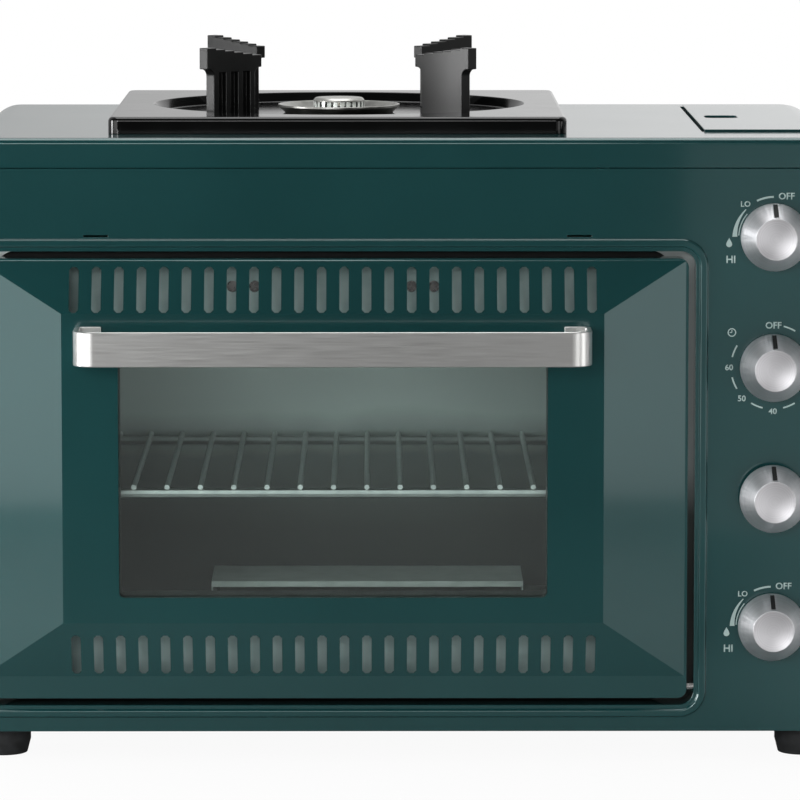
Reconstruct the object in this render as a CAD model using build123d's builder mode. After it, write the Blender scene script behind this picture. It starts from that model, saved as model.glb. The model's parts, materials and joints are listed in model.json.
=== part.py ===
from build123d import *
import os
from math import cos, radians, sin

os.makedirs("parts", exist_ok=True)

# Portable gas oven with a single-burner hob. Millimetres, +Z up, the front faces -Y.
# The origin is on the ground, below the middle of the whole object, handle included.

# ---------------------------------------------------------------- driving dimensions
# cabinet
cabinet_width = 480.0
cabinet_depth = 290.0
cabinet_height = 320.0
foot_height = 15.5
sheet = 1.0
bend_radius = 18.0
front_lip = 15.8
seam_gap = 0.4
lip_edge_radius = 3.5
rear_inset = 3.0
base_flange = 12.0

# door and its opening
control_strip = 83.6
door_margin = 8.8
door_header = 64.3
door_lift = 18.1
door_gap = 3.8
door_corner = 5.0
opening_corner = 8.0
opening_return = 18.0
bead_offset = 2.2
bead_width = 4.4
bead_rise = 1.2
bead_chamfer = 0.8
skin_depth = 13.0
door_depth = 15.0
bottom_strip = 12.0
skin_rim = 1.4
side_bevel = 45.5
raised_drop = 28.4
raised_lift = 42.9
raised_rise = 13.0
slot_count = 24
slot_pitch = 12.0
slot_width = 5.0
upper_slot_length = 23.5
upper_slot_drop = 16.1
lower_slot_length = 22.0
lower_slot_lift = 24.7
window_side = 30.0
window_top = 16.0
window_base = 13.7
window_corner = 3.0
glass_thickness = 4.0
glass_overlap = 10.0
gasket_thickness = 1.5
retainer_cover = 8.0
strike_pitches = 4
seat_clearance = 0.3

# door handle
handle_reach = 44.0
handle_margin = 7.3
handle_height = 18.5
handle_strap = 2.5
handle_bend = 10.0
handle_foot = 14.0
handle_drop = 44.4
handle_screw_diameter = 4.0

# door hinge
hinge_axis_depth = 5.0
hinge_axis_lift = 5.5
hinge_pin_diameter = 4.0
hinge_plate = 2.0
lug_width = 4.0
lug_height = 16.0
bracket_height = 22.0
bracket_drop = 6.0
running_clearance = 0.1

# oven cavity
cavity_side = 18.0
cavity_roof = 7.4
cavity_floor = 6.2
cavity_rear_gap = 15.0
cavity_corner = 6.0
liner_flange = 6.0
seal_width = 6.0
seal_offset = 4.0
seal_clearance = 1.2
insulation = 8.0
ledge_reach = 7.0
ledge_height = 5.0
ledge_levels = 3
ledge_pitch = 45.0
first_ledge = 49.0
rack_level = 1
rack_frame_wire = 5.0
rack_wire = 3.0
rack_wire_pitch = 18.0
rack_side_gap = 2.0
rack_front_gap = 8.0
rack_rear_gap = 10.0
rack_corner = 12.0
wire_sides = 8

# oven burner
burner_tube = 20.0
burner_wall = 1.5
burner_length = 262.0
burner_lift = 18.0
burner_depth = 163.0
burner_ports = 12
burner_port_pitch = 14.0
baffle_width = 176.0
baffle_depth = 60.0
baffle_lift = 34.0
baffle_lip = 3.4
baffle_offset = 18.0
igniter_rod = 6.0
igniter_reach = 48.0
igniter_tip = 12.0
probe_rod = 4.0
probe_reach = 54.0
rod_tail = 20.0

# hob
hob_size = 247.0
hob_height = 9.2
hob_shift = 2.3
hob_rear_gap = 12.0
hob_corner = 6.0
hob_edge_radius = 2.5
hob_skin = 1.2
recess_diameter = 207.0
recess_depth = 5.2
recess_slope = 2.6
bowl_diameter = 68.0
bowl_foot_diameter = 60.0
bowl_rise = 4.8
bowl_wall = 1.2
crown_diameter = 28.5
crown_height = 5.2
crown_teeth = 24
tooth_gap = 1.4
tooth_depth = 3.6
cap_height = 2.0
cap_bevel = 1.3
throat_diameter = 22.0
throat_drop = 26.0
venturi_diameter = 16.0
venturi_length = 90.0

# pan supports
support_count = 4
support_radius = 83.4
support_thickness = 6.5
post_length = 31.0
post_height = 28.0
post_fillet = 4.0
rib_count = 4
rib_width = 3.6
pocket_depth = 3.4
head_length = 41.0
head_inner = 6.8
head_outer = 11.6
head_steps = 6

# controls
knob_inset = 42.0
knob_count = 4
knob_base = 57.3
knob_header = 52.7
knob_gap = 2.0
button_travel = 4.0
skirt_diameter = 36.0
skirt_edge = 4.5
boss_diameter = 22.0
knob_height = 18.0
dish_depth = 1.8
notch_width = 2.4
notch_depth = 1.2
stem_diameter = 6.0
stem_flat = 1.0
stem_hole = 10.0
valve_width = 24.0
valve_height = 26.0
valve_depth = 42.0
valve_neck = 14.0
valve_neck_length = 4.0
timer_size = 50.0
timer_depth = 34.0
bell_diameter = 46.0
bell_height = 12.0
bell_bevel = 8.0
piezo_diameter = 18.0
piezo_length = 48.0
piezo_nut = 26.0

# gas bay and lid
lid_width = 76.5
lid_setback = 51.0
lid_rear_gap = 24.0
lid_rise = 1.2
lid_gap = 1.5
lid_flange = 7.0
finger_width = 20.0
finger_length = 25.0
finger_depth = 6.0
finger_inset = 5.5
bay_depth = 81.0
bay_margin = 2.0
lid_axis_drop = 33.7
knuckle_diameter = 5.0
lid_pin_diameter = 2.4
knuckle_count = 5
knuckle_cut = 3.5
leaf_height = 22.0
regulator_diameter = 40.0
regulator_length = 22.0
cartridge_diameter = 68.0
pipe_diameter = 6.0
pipe_bend = 7.0
pipe_sides = 12
pipe_spacing = 48.0

# feet and fasteners
foot_diameter = 30.0
foot_taper = 2.0
foot_inset_x = 23.0
foot_inset_y = 26.0
foot_recess = 8.0
screw_diameter = 4.0
screw_head = 8.0
screw_head_height = 1.8
small_screw = 3.0
small_head = 6.0
vent_width = 5.0
vent_length = 34.0
vent_pitch = 14.0
vent_count = 8
vent_inset = 68.0
slot_clip = 1.5
fixing_slot_length = 13.0
fixing_slot_side = 63.5
fixing_slot_lift = 12.0

# ---------------------------------------------------------------- places worked out from them
front_y = -(cabinet_depth - handle_reach) / 2
back_y = front_y + cabinet_depth
bottom_z = foot_height
top_z = bottom_z + cabinet_height
right_x = cabinet_width / 2
rear_y = back_y - rear_inset

opening_width = cabinet_width - control_strip - door_margin
door_width = opening_width - 2 * door_gap
door_offset = (door_margin - control_strip) / 2
door_height = cabinet_height - door_lift - door_header
door_bottom = bottom_z + door_lift
door_top = door_bottom + door_height
door_middle = door_bottom + door_height / 2
opening_height = door_height + 2 * door_gap
raised_width = door_width - 2 * side_bevel
raised_height = door_height - raised_lift - raised_drop
raised_middle = door_bottom + raised_lift + raised_height / 2
window_width = raised_width - 2 * window_side
window_height = raised_height - window_top - window_base
window_middle = door_bottom + raised_lift + window_base + window_height / 2
upper_slot_z = door_top - upper_slot_drop
handle_width = raised_width - 2 * handle_margin
handle_middle = door_top - handle_drop
face_y = front_y - raised_rise
hinge_y = front_y + hinge_axis_depth
hinge_z = door_bottom + hinge_axis_lift

cavity_width = door_width - 2 * cavity_side
cavity_height = door_height - cavity_roof - cavity_floor
liner_y = front_y + opening_return
cavity_back = back_y - cavity_rear_gap
cavity_depth = cavity_back - liner_y
cavity_bottom = door_bottom + cavity_floor
cavity_middle = cavity_bottom + cavity_height / 2
cavity_top = cavity_bottom + cavity_height
cavity_right = door_offset + cavity_width / 2

hob_offset = door_offset + hob_shift
hob_y = back_y - hob_rear_gap - hob_size / 2
recess_z = top_z + hob_height - recess_depth

knob_x = right_x - knob_inset
knob_pitch = (cabinet_height - knob_base - knob_header) / (knob_count - 1)
knob_levels = [bottom_z + knob_base + i * knob_pitch for i in range(knob_count)]
oven_knob_z, button_z, timer_z, hob_knob_z = knob_levels

lid_left = right_x - lid_width
lid_front = front_y + lid_setback
lid_back = back_y - lid_rear_gap
lid_length = lid_back - lid_front
lid_axis_x = right_x - knuckle_diameter / 2
lid_axis_z = top_z - lid_axis_drop
bay_bottom = top_z - bay_depth
cartridge_x = (lid_left + right_x) / 2 - bay_margin
cartridge_z = bay_bottom + sheet + cartridge_diameter / 2 + bay_margin


# ---------------------------------------------------------------- shared helpers
def facing(y):
    """Upright plane at depth y that looks to the front, with X across and Z up."""
    return Plane.XZ.offset(-y)


def case_outline(inset):
    """Front outline of the case, pulled in by inset at the sides and the top."""
    with BuildSketch() as outline:
        with Locations((0, bottom_z)):
            Rectangle(
                cabinet_width - 2 * inset,
                cabinet_height - inset,
                align=(Align.CENTER, Align.MIN),
            )
        fillet(outline.vertices().group_by(Axis.Y)[-1], bend_radius - inset)
    return outline.sketch


def clipped_slot(length, width):
    """Upright slot outline with clipped corners."""
    with BuildSketch() as slot:
        Rectangle(width, length)
        chamfer(slot.vertices(), slot_clip)
    return slot.sketch


def save(piece, name):
    """Label one finished piece and write it as its own STEP file."""
    piece.part.label = name
    export_step(piece.part, f"parts/{name}.step")


outer_outline = case_outline(0)
inner_outline = case_outline(sheet)
vent_slot = clipped_slot(vent_length, vent_width)
vent_row = [(i - (vent_count - 1) / 2) * vent_pitch for i in range(vent_count)]

# ---------------------------------------------------------------- case
# space inside the cover, its front edge rounded one sheet inside the lip's
with BuildPart() as cover_hollow:
    with BuildSketch(facing(front_y + sheet)):
        add(inner_outline)
    extrude(amount=-cabinet_depth)
    hollow_edges = cover_hollow.edges().group_by(Axis.Y)[0]
    fillet(
        hollow_edges.filter_by(lambda edge: edge.center().Z > top_z - bend_radius),
        lip_edge_radius - sheet,
    )
    # square again below the bends
    with BuildSketch(facing(front_y + sheet)):
        with Locations((0, bottom_z)):
            Rectangle(
                cabinet_width - 2 * sheet,
                cabinet_height - bend_radius,
                align=(Align.CENTER, Align.MIN),
            )
    extrude(amount=-lip_edge_radius)

# cover: one sheet bent over the top and both sides, with a turned-down lip at the front
with BuildPart() as wrap_cover:
    with BuildSketch(facing(front_y)):
        add(outer_outline)
    extrude(amount=-cabinet_depth)
    front_edges = wrap_cover.edges().group_by(Axis.Y)[0]
    fillet(front_edges.filter_by(lambda edge: edge.center().Z > top_z - bend_radius), lip_edge_radius)
    # the side edges stay square below the bends
    with BuildSketch(facing(front_y)):
        with Locations((0, bottom_z)):
            Rectangle(
                cabinet_width, cabinet_height - bend_radius, align=(Align.CENTER, Align.MIN)
            )
    extrude(amount=-2 * lip_edge_radius)
    add(cover_hollow.part, mode=Mode.SUBTRACT)
    # the front stays open below the lip
    with BuildSketch(facing(front_y)):
        with Locations((0, bottom_z)):
            Rectangle(
                cabinet_width, cabinet_height - front_lip, align=(Align.CENTER, Align.MIN)
            )
    extrude(amount=-sheet, mode=Mode.SUBTRACT)
    # opening for the gas bay, through the top, the bend and the side
    with BuildSketch(facing(lid_front - lid_gap)):
        with Locations((lid_left - lid_gap, lid_axis_z - knuckle_diameter / 2 - 2 * seat_clearance)):
            Rectangle(cabinet_width, cabinet_height, align=(Align.MIN, Align.MIN))
    extrude(amount=-(lid_length + 2 * lid_gap), mode=Mode.SUBTRACT)
    # holes for the hob burner's throat and its igniter
    with BuildSketch(Plane.XY.offset(top_z)):
        with Locations((hob_offset, hob_y)):
            Circle(throat_diameter / 2 + lid_gap)
        with Locations((hob_offset, hob_y + throat_diameter)):
            Circle(igniter_rod / 2 + lid_gap)
    extrude(amount=-2 * sheet, mode=Mode.SUBTRACT)
    # air slots low on the gas side
    with BuildSketch(Plane.YZ.offset(right_x)):
        for vent in vent_row:
            with Locations((vent, bottom_z + vent_inset)):
                add(vent_slot)
    extrude(amount=-2 * sheet, mode=Mode.SUBTRACT)
save(wrap_cover, "wrap_cover")

# fascia: front sheet with the door opening, its pressed bead and its turned-in edge
fascia_height = cabinet_height - front_lip - seam_gap
with BuildPart() as front_fascia:
    with BuildSketch(facing(front_y)):
        with Locations((0, bottom_z)):
            Rectangle(cabinet_width, fascia_height, align=(Align.CENTER, Align.MIN))
    extrude(amount=-sheet)
    bead_inner = 2 * bead_offset
    bead_outer = 2 * (bead_offset + bead_width)
    with BuildSketch(facing(front_y)):
        with Locations((door_offset, door_middle)):
            RectangleRounded(
                opening_width + bead_outer,
                opening_height + bead_outer,
                opening_corner + bead_outer / 2,
            )
            RectangleRounded(
                opening_width + bead_inner,
                opening_height + bead_inner,
                opening_corner + bead_inner / 2,
                mode=Mode.SUBTRACT,
            )
    extrude(amount=bead_rise)
    chamfer(front_fascia.edges().group_by(Axis.Y)[0], bead_chamfer)
    with BuildSketch(facing(front_y)):
        with Locations((door_offset, door_middle)):
            RectangleRounded(
                opening_width + 2 * sheet, opening_height + 2 * sheet, opening_corner + sheet
            )
    extrude(amount=-opening_return)
    with BuildSketch(facing(front_y)):
        with Locations((door_offset, door_middle)):
            RectangleRounded(opening_width, opening_height, opening_corner)
        with Locations(*[(knob_x, level) for level in knob_levels]):
            Circle(stem_hole / 2)
        # two narrow fixing slots above the door
        with Locations(
            (door_offset - door_width / 2 + fixing_slot_side, door_top + fixing_slot_lift),
            (door_offset + door_width / 2 - fixing_slot_side + slot_width, door_top + fixing_slot_lift),
        ):
            Rectangle(fixing_slot_length, sheet)
    extrude(amount=-opening_return, mode=Mode.SUBTRACT)
    # holes for the hinge pins through the turned-in edge
    with BuildSketch(Plane.YZ.offset(door_offset - opening_width / 2 - 2 * sheet)):
        with Locations((hinge_y, hinge_z)):
            Circle(hinge_pin_diameter / 2 + running_clearance)
    extrude(amount=opening_width + 4 * sheet, mode=Mode.SUBTRACT)
save(front_fascia, "front_fascia")

# rear panel: set in a little, with flue slots above and air slots below
with BuildPart() as rear_panel:
    with BuildSketch(facing(rear_y - sheet)):
        add(inner_outline)
        with Locations((0, bottom_z)):
            Rectangle(cabinet_width, sheet, align=(Align.CENTER, Align.MIN), mode=Mode.SUBTRACT)
        for level in (top_z - vent_inset, bottom_z + vent_inset):
            for vent in vent_row:
                with Locations((door_offset + vent, level)):
                    add(vent_slot, mode=Mode.SUBTRACT)
    extrude(amount=-sheet)
save(rear_panel, "rear_panel")

# base pan: tray with upturned edges that carries the feet
foot_places = [
    (side * (right_x - foot_inset_x), y)
    for side in (-1, 1)
    for y in (front_y + foot_inset_y, back_y - foot_inset_y)
]
pan_width = cabinet_width - 2 * sheet
pan_front = front_y + sheet
pan_length = rear_y - pan_front
with BuildPart() as base_pan:
    with BuildSketch(Plane.XY.offset(bottom_z)):
        with Locations((0, pan_front + pan_length / 2)):
            Rectangle(pan_width, pan_length)
    extrude(amount=sheet)
    with BuildSketch(Plane.XY.offset(bottom_z + sheet)):
        with Locations((0, pan_front + (pan_length - sheet) / 2)):
            Rectangle(pan_width, pan_length - sheet)
            Rectangle(pan_width - 2 * sheet, pan_length - 3 * sheet, mode=Mode.SUBTRACT)
    extrude(amount=base_flange)
    with BuildSketch(Plane.XY.offset(bottom_z)):
        with Locations(*foot_places):
            Circle(screw_diameter / 2 + running_clearance)
        for vent in vent_row:
            with Locations((knob_x, vent)):
                add(vent_slot, rotation=90)
    extrude(amount=sheet, mode=Mode.SUBTRACT)
save(base_pan, "base_pan")

# feet: turned rubber, a little narrower at the ground, hollow below for the screw
with BuildPart() as feet:
    with BuildSketch(Plane.XY.offset(bottom_z)):
        with Locations(*foot_places):
            Circle(foot_diameter / 2)
    extrude(amount=-foot_height)
    chamfer(feet.edges().group_by(Axis.Z)[0], foot_height / 2, foot_taper)
    with BuildSketch(Plane.XY):
        with Locations(*foot_places):
            Circle(screw_head / 2 + sheet)
    extrude(amount=foot_recess, mode=Mode.SUBTRACT)
    with BuildSketch(Plane.XY):
        with Locations(*foot_places):
            Circle(screw_diameter / 2 + running_clearance)
    extrude(amount=bottom_z, mode=Mode.SUBTRACT)
save(feet, "feet")

with BuildPart() as foot_screws:
    with BuildSketch(Plane.XY.offset(foot_recess)):
        with Locations(*foot_places):
            Circle(screw_head / 2)
    extrude(amount=-screw_head_height)
    with BuildSketch(Plane.XY.offset(foot_recess)):
        with Locations(*foot_places):
            Circle(screw_diameter / 2)
    extrude(amount=bottom_z + 3 * sheet - foot_recess)
save(foot_screws, "foot_screws")

# screws that hold the rear panel, heads to the back
rear_screw_places = [
    (side * (right_x - base_flange), level)
    for side in (-1, 1)
    for level in (bottom_z + base_flange, cavity_middle, top_z - 2 * base_flange)
]
with BuildPart() as rear_screws:
    with BuildSketch(facing(rear_y)):
        with Locations(*rear_screw_places):
            Circle(screw_head / 2)
    extrude(amount=-screw_head_height)
    chamfer(rear_screws.edges().group_by(Axis.Y)[-1], screw_head_height / 2)
save(rear_screws, "rear_screws")

# ---------------------------------------------------------------- oven cavity
ledge_tops = [cavity_bottom + first_ledge + i * ledge_pitch + ledge_height for i in range(ledge_levels)]
tube_y = front_y + burner_depth + opening_return
tube_z = cavity_bottom + burner_lift
rod_y = front_y + burner_depth - opening_return + sheet
igniter_z = tube_z + burner_tube / 2 - sheet
probe_z = igniter_z - igniter_rod - sheet
with BuildPart() as oven_liner:
    with BuildSketch(facing(liner_y)):
        with Locations((door_offset, cavity_middle)):
            RectangleRounded(
                cavity_width + 2 * sheet, cavity_height + 2 * sheet, cavity_corner + sheet
            )
    extrude(amount=-(cavity_depth + sheet))
    with BuildSketch(facing(liner_y)):
        with Locations((door_offset, door_middle)):
            RectangleRounded(
                opening_width + 2 * liner_flange,
                opening_height + 2 * liner_flange,
                opening_corner,
            )
    extrude(amount=-sheet)
    with BuildSketch(facing(liner_y)):
        with Locations((door_offset, cavity_middle)):
            RectangleRounded(cavity_width, cavity_height, cavity_corner)
    extrude(amount=-cavity_depth, mode=Mode.SUBTRACT)
    # pressed ledges for the rack, both sides
    with BuildSketch(facing(liner_y + 2 * ledge_reach)):
        for top in ledge_tops:
            for side in (-1, 1):
                wall = door_offset + side * cavity_width / 2
                with BuildLine():
                    Polyline(
                        (wall, top),
                        (wall - side * ledge_reach, top),
                        (wall - side * ledge_reach, top - ledge_height / 3),
                        (wall, top - ledge_height),
                        (wall, top),
                    )
                make_face()
    extrude(amount=-(cavity_depth - 3 * ledge_reach))
    # flue slots at the top of the back wall
    with BuildSketch(facing(cavity_back)):
        for vent in vent_row:
            with Locations((door_offset + vent, cavity_top - vent_length)):
                add(vent_slot)
    extrude(amount=-sheet, mode=Mode.SUBTRACT)
    # holes for the burner tube, the igniter and the probe in the right wall
    with BuildSketch(Plane.YZ.offset(cavity_right)):
        with Locations((tube_y, tube_z)):
            Circle(burner_tube / 2 + running_clearance)
        with Locations((rod_y, igniter_z)):
            Circle(igniter_rod / 2 + running_clearance)
        with Locations((rod_y, probe_z)):
            Circle(probe_rod / 2 + running_clearance)
    extrude(amount=sheet, mode=Mode.SUBTRACT)
    # air slots in the floor, below the burner
    with BuildSketch(Plane.XY.offset(cavity_bottom)):
        for vent in vent_row:
            with Locations((door_offset + baffle_offset + vent, tube_y)):
                add(vent_slot)
    extrude(amount=-sheet, mode=Mode.SUBTRACT)
save(oven_liner, "oven_liner")

# insulation: blanket over the top, the sides and the back of the liner
blanket_inner = 2 * (sheet + seat_clearance)
blanket_outer = blanket_inner + 2 * insulation
blanket_end = cavity_back + sheet + seat_clearance
with BuildPart() as oven_insulation:
    with BuildSketch(facing(liner_y + 2 * sheet)):
        with Locations((door_offset, cavity_middle)):
            Rectangle(cavity_width + blanket_outer, cavity_height + blanket_outer)
    extrude(amount=-(blanket_end + insulation / 2 - liner_y - 2 * sheet))
    with BuildSketch(facing(liner_y + 2 * sheet)):
        with Locations((door_offset, cavity_middle)):
            Rectangle(cavity_width + blanket_inner, cavity_height + blanket_inner)
    extrude(amount=-(blanket_end - liner_y - 2 * sheet), mode=Mode.SUBTRACT)
    # open below the floor and behind the flue slots
    with BuildSketch(facing(liner_y)):
        with Locations((door_offset, cavity_bottom)):
            Rectangle(
                cavity_width + 2 * blanket_outer,
                blanket_outer,
                align=(Align.CENTER, Align.MAX),
            )
        with Locations((door_offset, cavity_top - vent_length)):
            Rectangle(vent_count * vent_pitch, vent_length + 2 * vent_width)
    extrude(amount=-2 * cavity_depth, mode=Mode.SUBTRACT)
    with BuildSketch(Plane.YZ.offset(cavity_right)):
        with Locations((tube_y, tube_z)):
            Circle(burner_tube / 2 + sheet)
        with Locations((rod_y, (igniter_z + probe_z) / 2)):
            Rectangle(igniter_rod + 2 * sheet, igniter_z - probe_z + 2 * igniter_rod)
    extrude(amount=blanket_outer, mode=Mode.SUBTRACT)
save(oven_insulation, "oven_insulation")

# seal: soft frame on the liner's front flange, just clear of the closed door
seal_thickness = opening_return - door_depth - seal_clearance
with BuildPart() as door_seal:
    with BuildSketch(facing(liner_y)):
        with Locations((door_offset, cavity_middle)):
            RectangleRounded(
                cavity_width + 2 * (seal_offset + seal_width),
                cavity_height + 2 * (seal_offset + seal_width),
                cavity_corner + seal_width,
            )
            RectangleRounded(
                cavity_width + 2 * seal_offset,
                cavity_height + 2 * seal_offset,
                cavity_corner,
                mode=Mode.SUBTRACT,
            )
    extrude(amount=seal_thickness)
    chamfer(door_seal.edges().group_by(Axis.Y)[0], seal_thickness / 3)
save(door_seal, "door_seal")

# rack: bent frame wire with straight wires laid across it
rack_width = cavity_width - 2 * rack_side_gap
rack_z = ledge_tops[rack_level] + rack_frame_wire / 2
rack_depth = cavity_depth - rack_front_gap - rack_rear_gap
rack_y = liner_y + rack_front_gap + rack_depth / 2
wire_z = rack_z + (rack_frame_wire + rack_wire) / 2 - sheet / 2
wire_reach = int((rack_width / 2 - rack_corner) // rack_wire_pitch)
rack_left = door_offset - (rack_width - rack_frame_wire) / 2
rack_right = door_offset + (rack_width - rack_frame_wire) / 2
rack_front = rack_y - (rack_depth - rack_frame_wire) / 2
rack_back = rack_y + (rack_depth - rack_frame_wire) / 2
with BuildPart() as oven_rack:
    with BuildLine():
        loop = FilletPolyline(
            (rack_left, rack_front, rack_z),
            (rack_right, rack_front, rack_z),
            (rack_right, rack_back, rack_z),
            (rack_left, rack_back, rack_z),
            radius=rack_corner,
            close=True,
        )
    with BuildSketch(Plane(loop @ 0, z_dir=loop % 0)):
        RegularPolygon(rack_frame_wire / 2, wire_sides)
    sweep(path=loop)
    with BuildSketch(facing(rack_y - rack_depth / 2)):
        for step in range(-wire_reach, wire_reach + 1):
            with Locations((door_offset + step * rack_wire_pitch, wire_z)):
                RegularPolygon(rack_wire / 2, wire_sides)
    extrude(amount=-rack_depth)
save(oven_rack, "oven_rack")

# ---------------------------------------------------------------- oven burner
tube_left = cavity_right + 3 * insulation - burner_length
with BuildPart() as oven_burner:
    with BuildSketch(Plane.YZ.offset(tube_left)):
        with Locations((tube_y, tube_z)):
            Circle(burner_tube / 2)
    extrude(amount=burner_length)
    with BuildSketch(Plane.YZ.offset(tube_left + burner_wall)):
        with Locations((tube_y, tube_z)):
            Circle(burner_tube / 2 - burner_wall)
    extrude(amount=burner_length, mode=Mode.SUBTRACT)
    # flame ports along both flanks
    with BuildSketch(facing(tube_y - burner_tube)):
        for i in range(burner_ports):
            with Locations((tube_left + (i + 2) * burner_port_pitch, tube_z)):
                Rectangle(burner_port_pitch / 2, burner_wall)
    extrude(amount=-2 * burner_tube, mode=Mode.SUBTRACT)
save(oven_burner, "oven_burner")

# baffle: bent bridge that stands on the floor, spreads the heat and carries the tube
baffle_x = door_offset + baffle_offset
baffle_z = cavity_bottom + baffle_lift
with BuildPart() as burner_baffle:
    with BuildSketch(facing(tube_y - baffle_depth / 2)):
        with Locations((baffle_x, cavity_bottom)):
            Rectangle(baffle_width, baffle_lift + sheet, align=(Align.CENTER, Align.MIN))
            Rectangle(
                baffle_width - 2 * sheet,
                baffle_lift,
                align=(Align.CENTER, Align.MIN),
                mode=Mode.SUBTRACT,
            )
    extrude(amount=-baffle_depth)
    with BuildSketch(Plane.XY.offset(baffle_z)):
        for edge in (-1, 1):
            with Locations((baffle_x, tube_y + edge * (baffle_depth - sheet) / 2)):
                Rectangle(baffle_width, sheet)
    extrude(amount=-(baffle_lip - sheet))
    with BuildSketch(Plane.YZ.offset(baffle_x - baffle_width)):
        with Locations((tube_y, tube_z)):
            Circle(burner_tube / 2 + running_clearance)
    extrude(amount=2 * baffle_width, mode=Mode.SUBTRACT)
save(burner_baffle, "burner_baffle")

# igniter and temperature probe: rods through the right wall, tips beside the burner
with BuildPart() as oven_igniter:
    with BuildSketch(Plane.YZ.offset(cavity_right + rod_tail)):
        with Locations((rod_y, igniter_z)):
            Circle(igniter_rod / 2)
    extrude(amount=-(rod_tail + igniter_reach))
    with BuildSketch(Plane.YZ.offset(cavity_right - igniter_reach)):
        with Locations((rod_y, igniter_z)):
            Circle(sheet)
    extrude(amount=-igniter_tip)
save(oven_igniter, "oven_igniter")

with BuildPart() as oven_probe:
    with BuildSketch(Plane.YZ.offset(cavity_right + rod_tail)):
        with Locations((rod_y, probe_z)):
            Circle(probe_rod / 2)
    extrude(amount=-(rod_tail + probe_reach))
    chamfer(oven_probe.edges().group_by(Axis.X)[0], probe_rod / 4)
save(oven_probe, "oven_probe")

# ---------------------------------------------------------------- door
# skin: shallow pressed tray whose front rises in a picture-frame bevel to a flat centre
door_left = door_offset - door_width / 2
door_right = door_offset + door_width / 2
tray_back = front_y + skin_depth
raised_left = door_left + side_bevel
raised_right = door_right - side_bevel
raised_bottom = door_bottom + raised_lift
raised_top = door_top - raised_drop
slot_rows = [
    (upper_slot_z, clipped_slot(upper_slot_length, slot_width)),
    (door_bottom + lower_slot_lift, clipped_slot(lower_slot_length, slot_width)),
]
slot_places = [(i - (slot_count - 1) / 2) * slot_pitch for i in range(slot_count)]
with BuildPart() as door_skin:
    # the form seen from above, then the same form seen from the side
    with BuildSketch(Plane.XY.offset(door_bottom)):
        with BuildLine():
            Polyline(
                (door_left, tray_back),
                (door_left, front_y),
                (door_left + skin_rim, front_y),
                (raised_left, face_y),
                (raised_right, face_y),
                (door_right - skin_rim, front_y),
                (door_right, front_y),
                (door_right, tray_back),
                close=True,
            )
        make_face()
    extrude(amount=door_height)
    with BuildSketch(Plane.YZ.offset(door_left)):
        with BuildLine():
            Polyline(
                (tray_back, door_bottom),
                (front_y, door_bottom),
                (front_y, door_bottom + bottom_strip),
                (face_y, raised_bottom),
                (face_y, raised_top),
                (front_y, door_top - skin_rim),
                (front_y, door_top),
                (tray_back, door_top),
                close=True,
            )
        make_face()
    extrude(amount=door_width, mode=Mode.INTERSECT)
    with BuildSketch(facing(face_y)):
        with Locations((door_offset, door_middle)):
            RectangleRounded(door_width, door_height, door_corner)
    extrude(amount=-(raised_rise + skin_depth), mode=Mode.INTERSECT)
    tray_opening = door_skin.faces().sort_by(Axis.Y)[-1]
    offset(amount=-sheet, openings=tray_opening, kind=Kind.INTERSECTION)
    with BuildSketch(facing(face_y)):
        with Locations((door_offset, window_middle)):
            RectangleRounded(window_width, window_height, window_corner)
        for level, slot_outline in slot_rows:
            for place in slot_places:
                with Locations((door_offset + place, level)):
                    add(slot_outline)
        for side in (-1, 1):
            with Locations((door_offset + side * (handle_width / 2 - handle_foot / 2), handle_middle)):
                Circle(handle_screw_diameter / 2 + running_clearance)
    extrude(amount=-(raised_rise + 2 * sheet), mode=Mode.SUBTRACT)
    with BuildSketch(Plane.YZ.offset(door_offset - door_width / 2)):
        with Locations((hinge_y, hinge_z)):
            Circle(hinge_pin_diameter / 2 + running_clearance)
    extrude(amount=door_width, mode=Mode.SUBTRACT)
save(door_skin, "door_skin")

# glass pane, held between a gasket and a screwed-in frame
glass_front = face_y + sheet + gasket_thickness
glass_back = glass_front + glass_thickness
glass_width = window_width + 2 * glass_overlap
glass_height = window_height + 2 * glass_overlap
with BuildPart() as glass_gasket:
    with BuildSketch(facing(glass_front)):
        with Locations((door_offset, window_middle)):
            RectangleRounded(glass_width, glass_height, window_corner)
            RectangleRounded(
                window_width + gasket_thickness,
                window_height + gasket_thickness,
                window_corner,
                mode=Mode.SUBTRACT,
            )
    extrude(amount=gasket_thickness)
save(glass_gasket, "glass_gasket")

with BuildPart() as door_glass:
    with BuildSketch(facing(glass_front)):
        with Locations((door_offset, window_middle)):
            RectangleRounded(glass_width, glass_height, window_corner)
    extrude(amount=-glass_thickness)
save(door_glass, "door_glass")

retainer_width = glass_width + 2 * (sheet + seat_clearance)
retainer_height = glass_height + 2 * (sheet + seat_clearance)
with BuildPart() as glass_retainer:
    with BuildSketch(facing(face_y + sheet)):
        with Locations((door_offset, window_middle)):
            RectangleRounded(retainer_width, retainer_height, window_corner + sheet)
            RectangleRounded(
                retainer_width - 2 * sheet,
                retainer_height - 2 * sheet,
                window_corner,
                mode=Mode.SUBTRACT,
            )
    extrude(amount=-(glass_back + sheet - face_y - sheet))
    with BuildSketch(facing(glass_back)):
        with Locations((door_offset, window_middle)):
            RectangleRounded(retainer_width, retainer_height, window_corner + sheet)
            RectangleRounded(
                glass_width - 2 * retainer_cover,
                glass_height - 2 * retainer_cover,
                window_corner,
                mode=Mode.SUBTRACT,
            )
    extrude(amount=-sheet)
save(glass_retainer, "glass_retainer")

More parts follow.
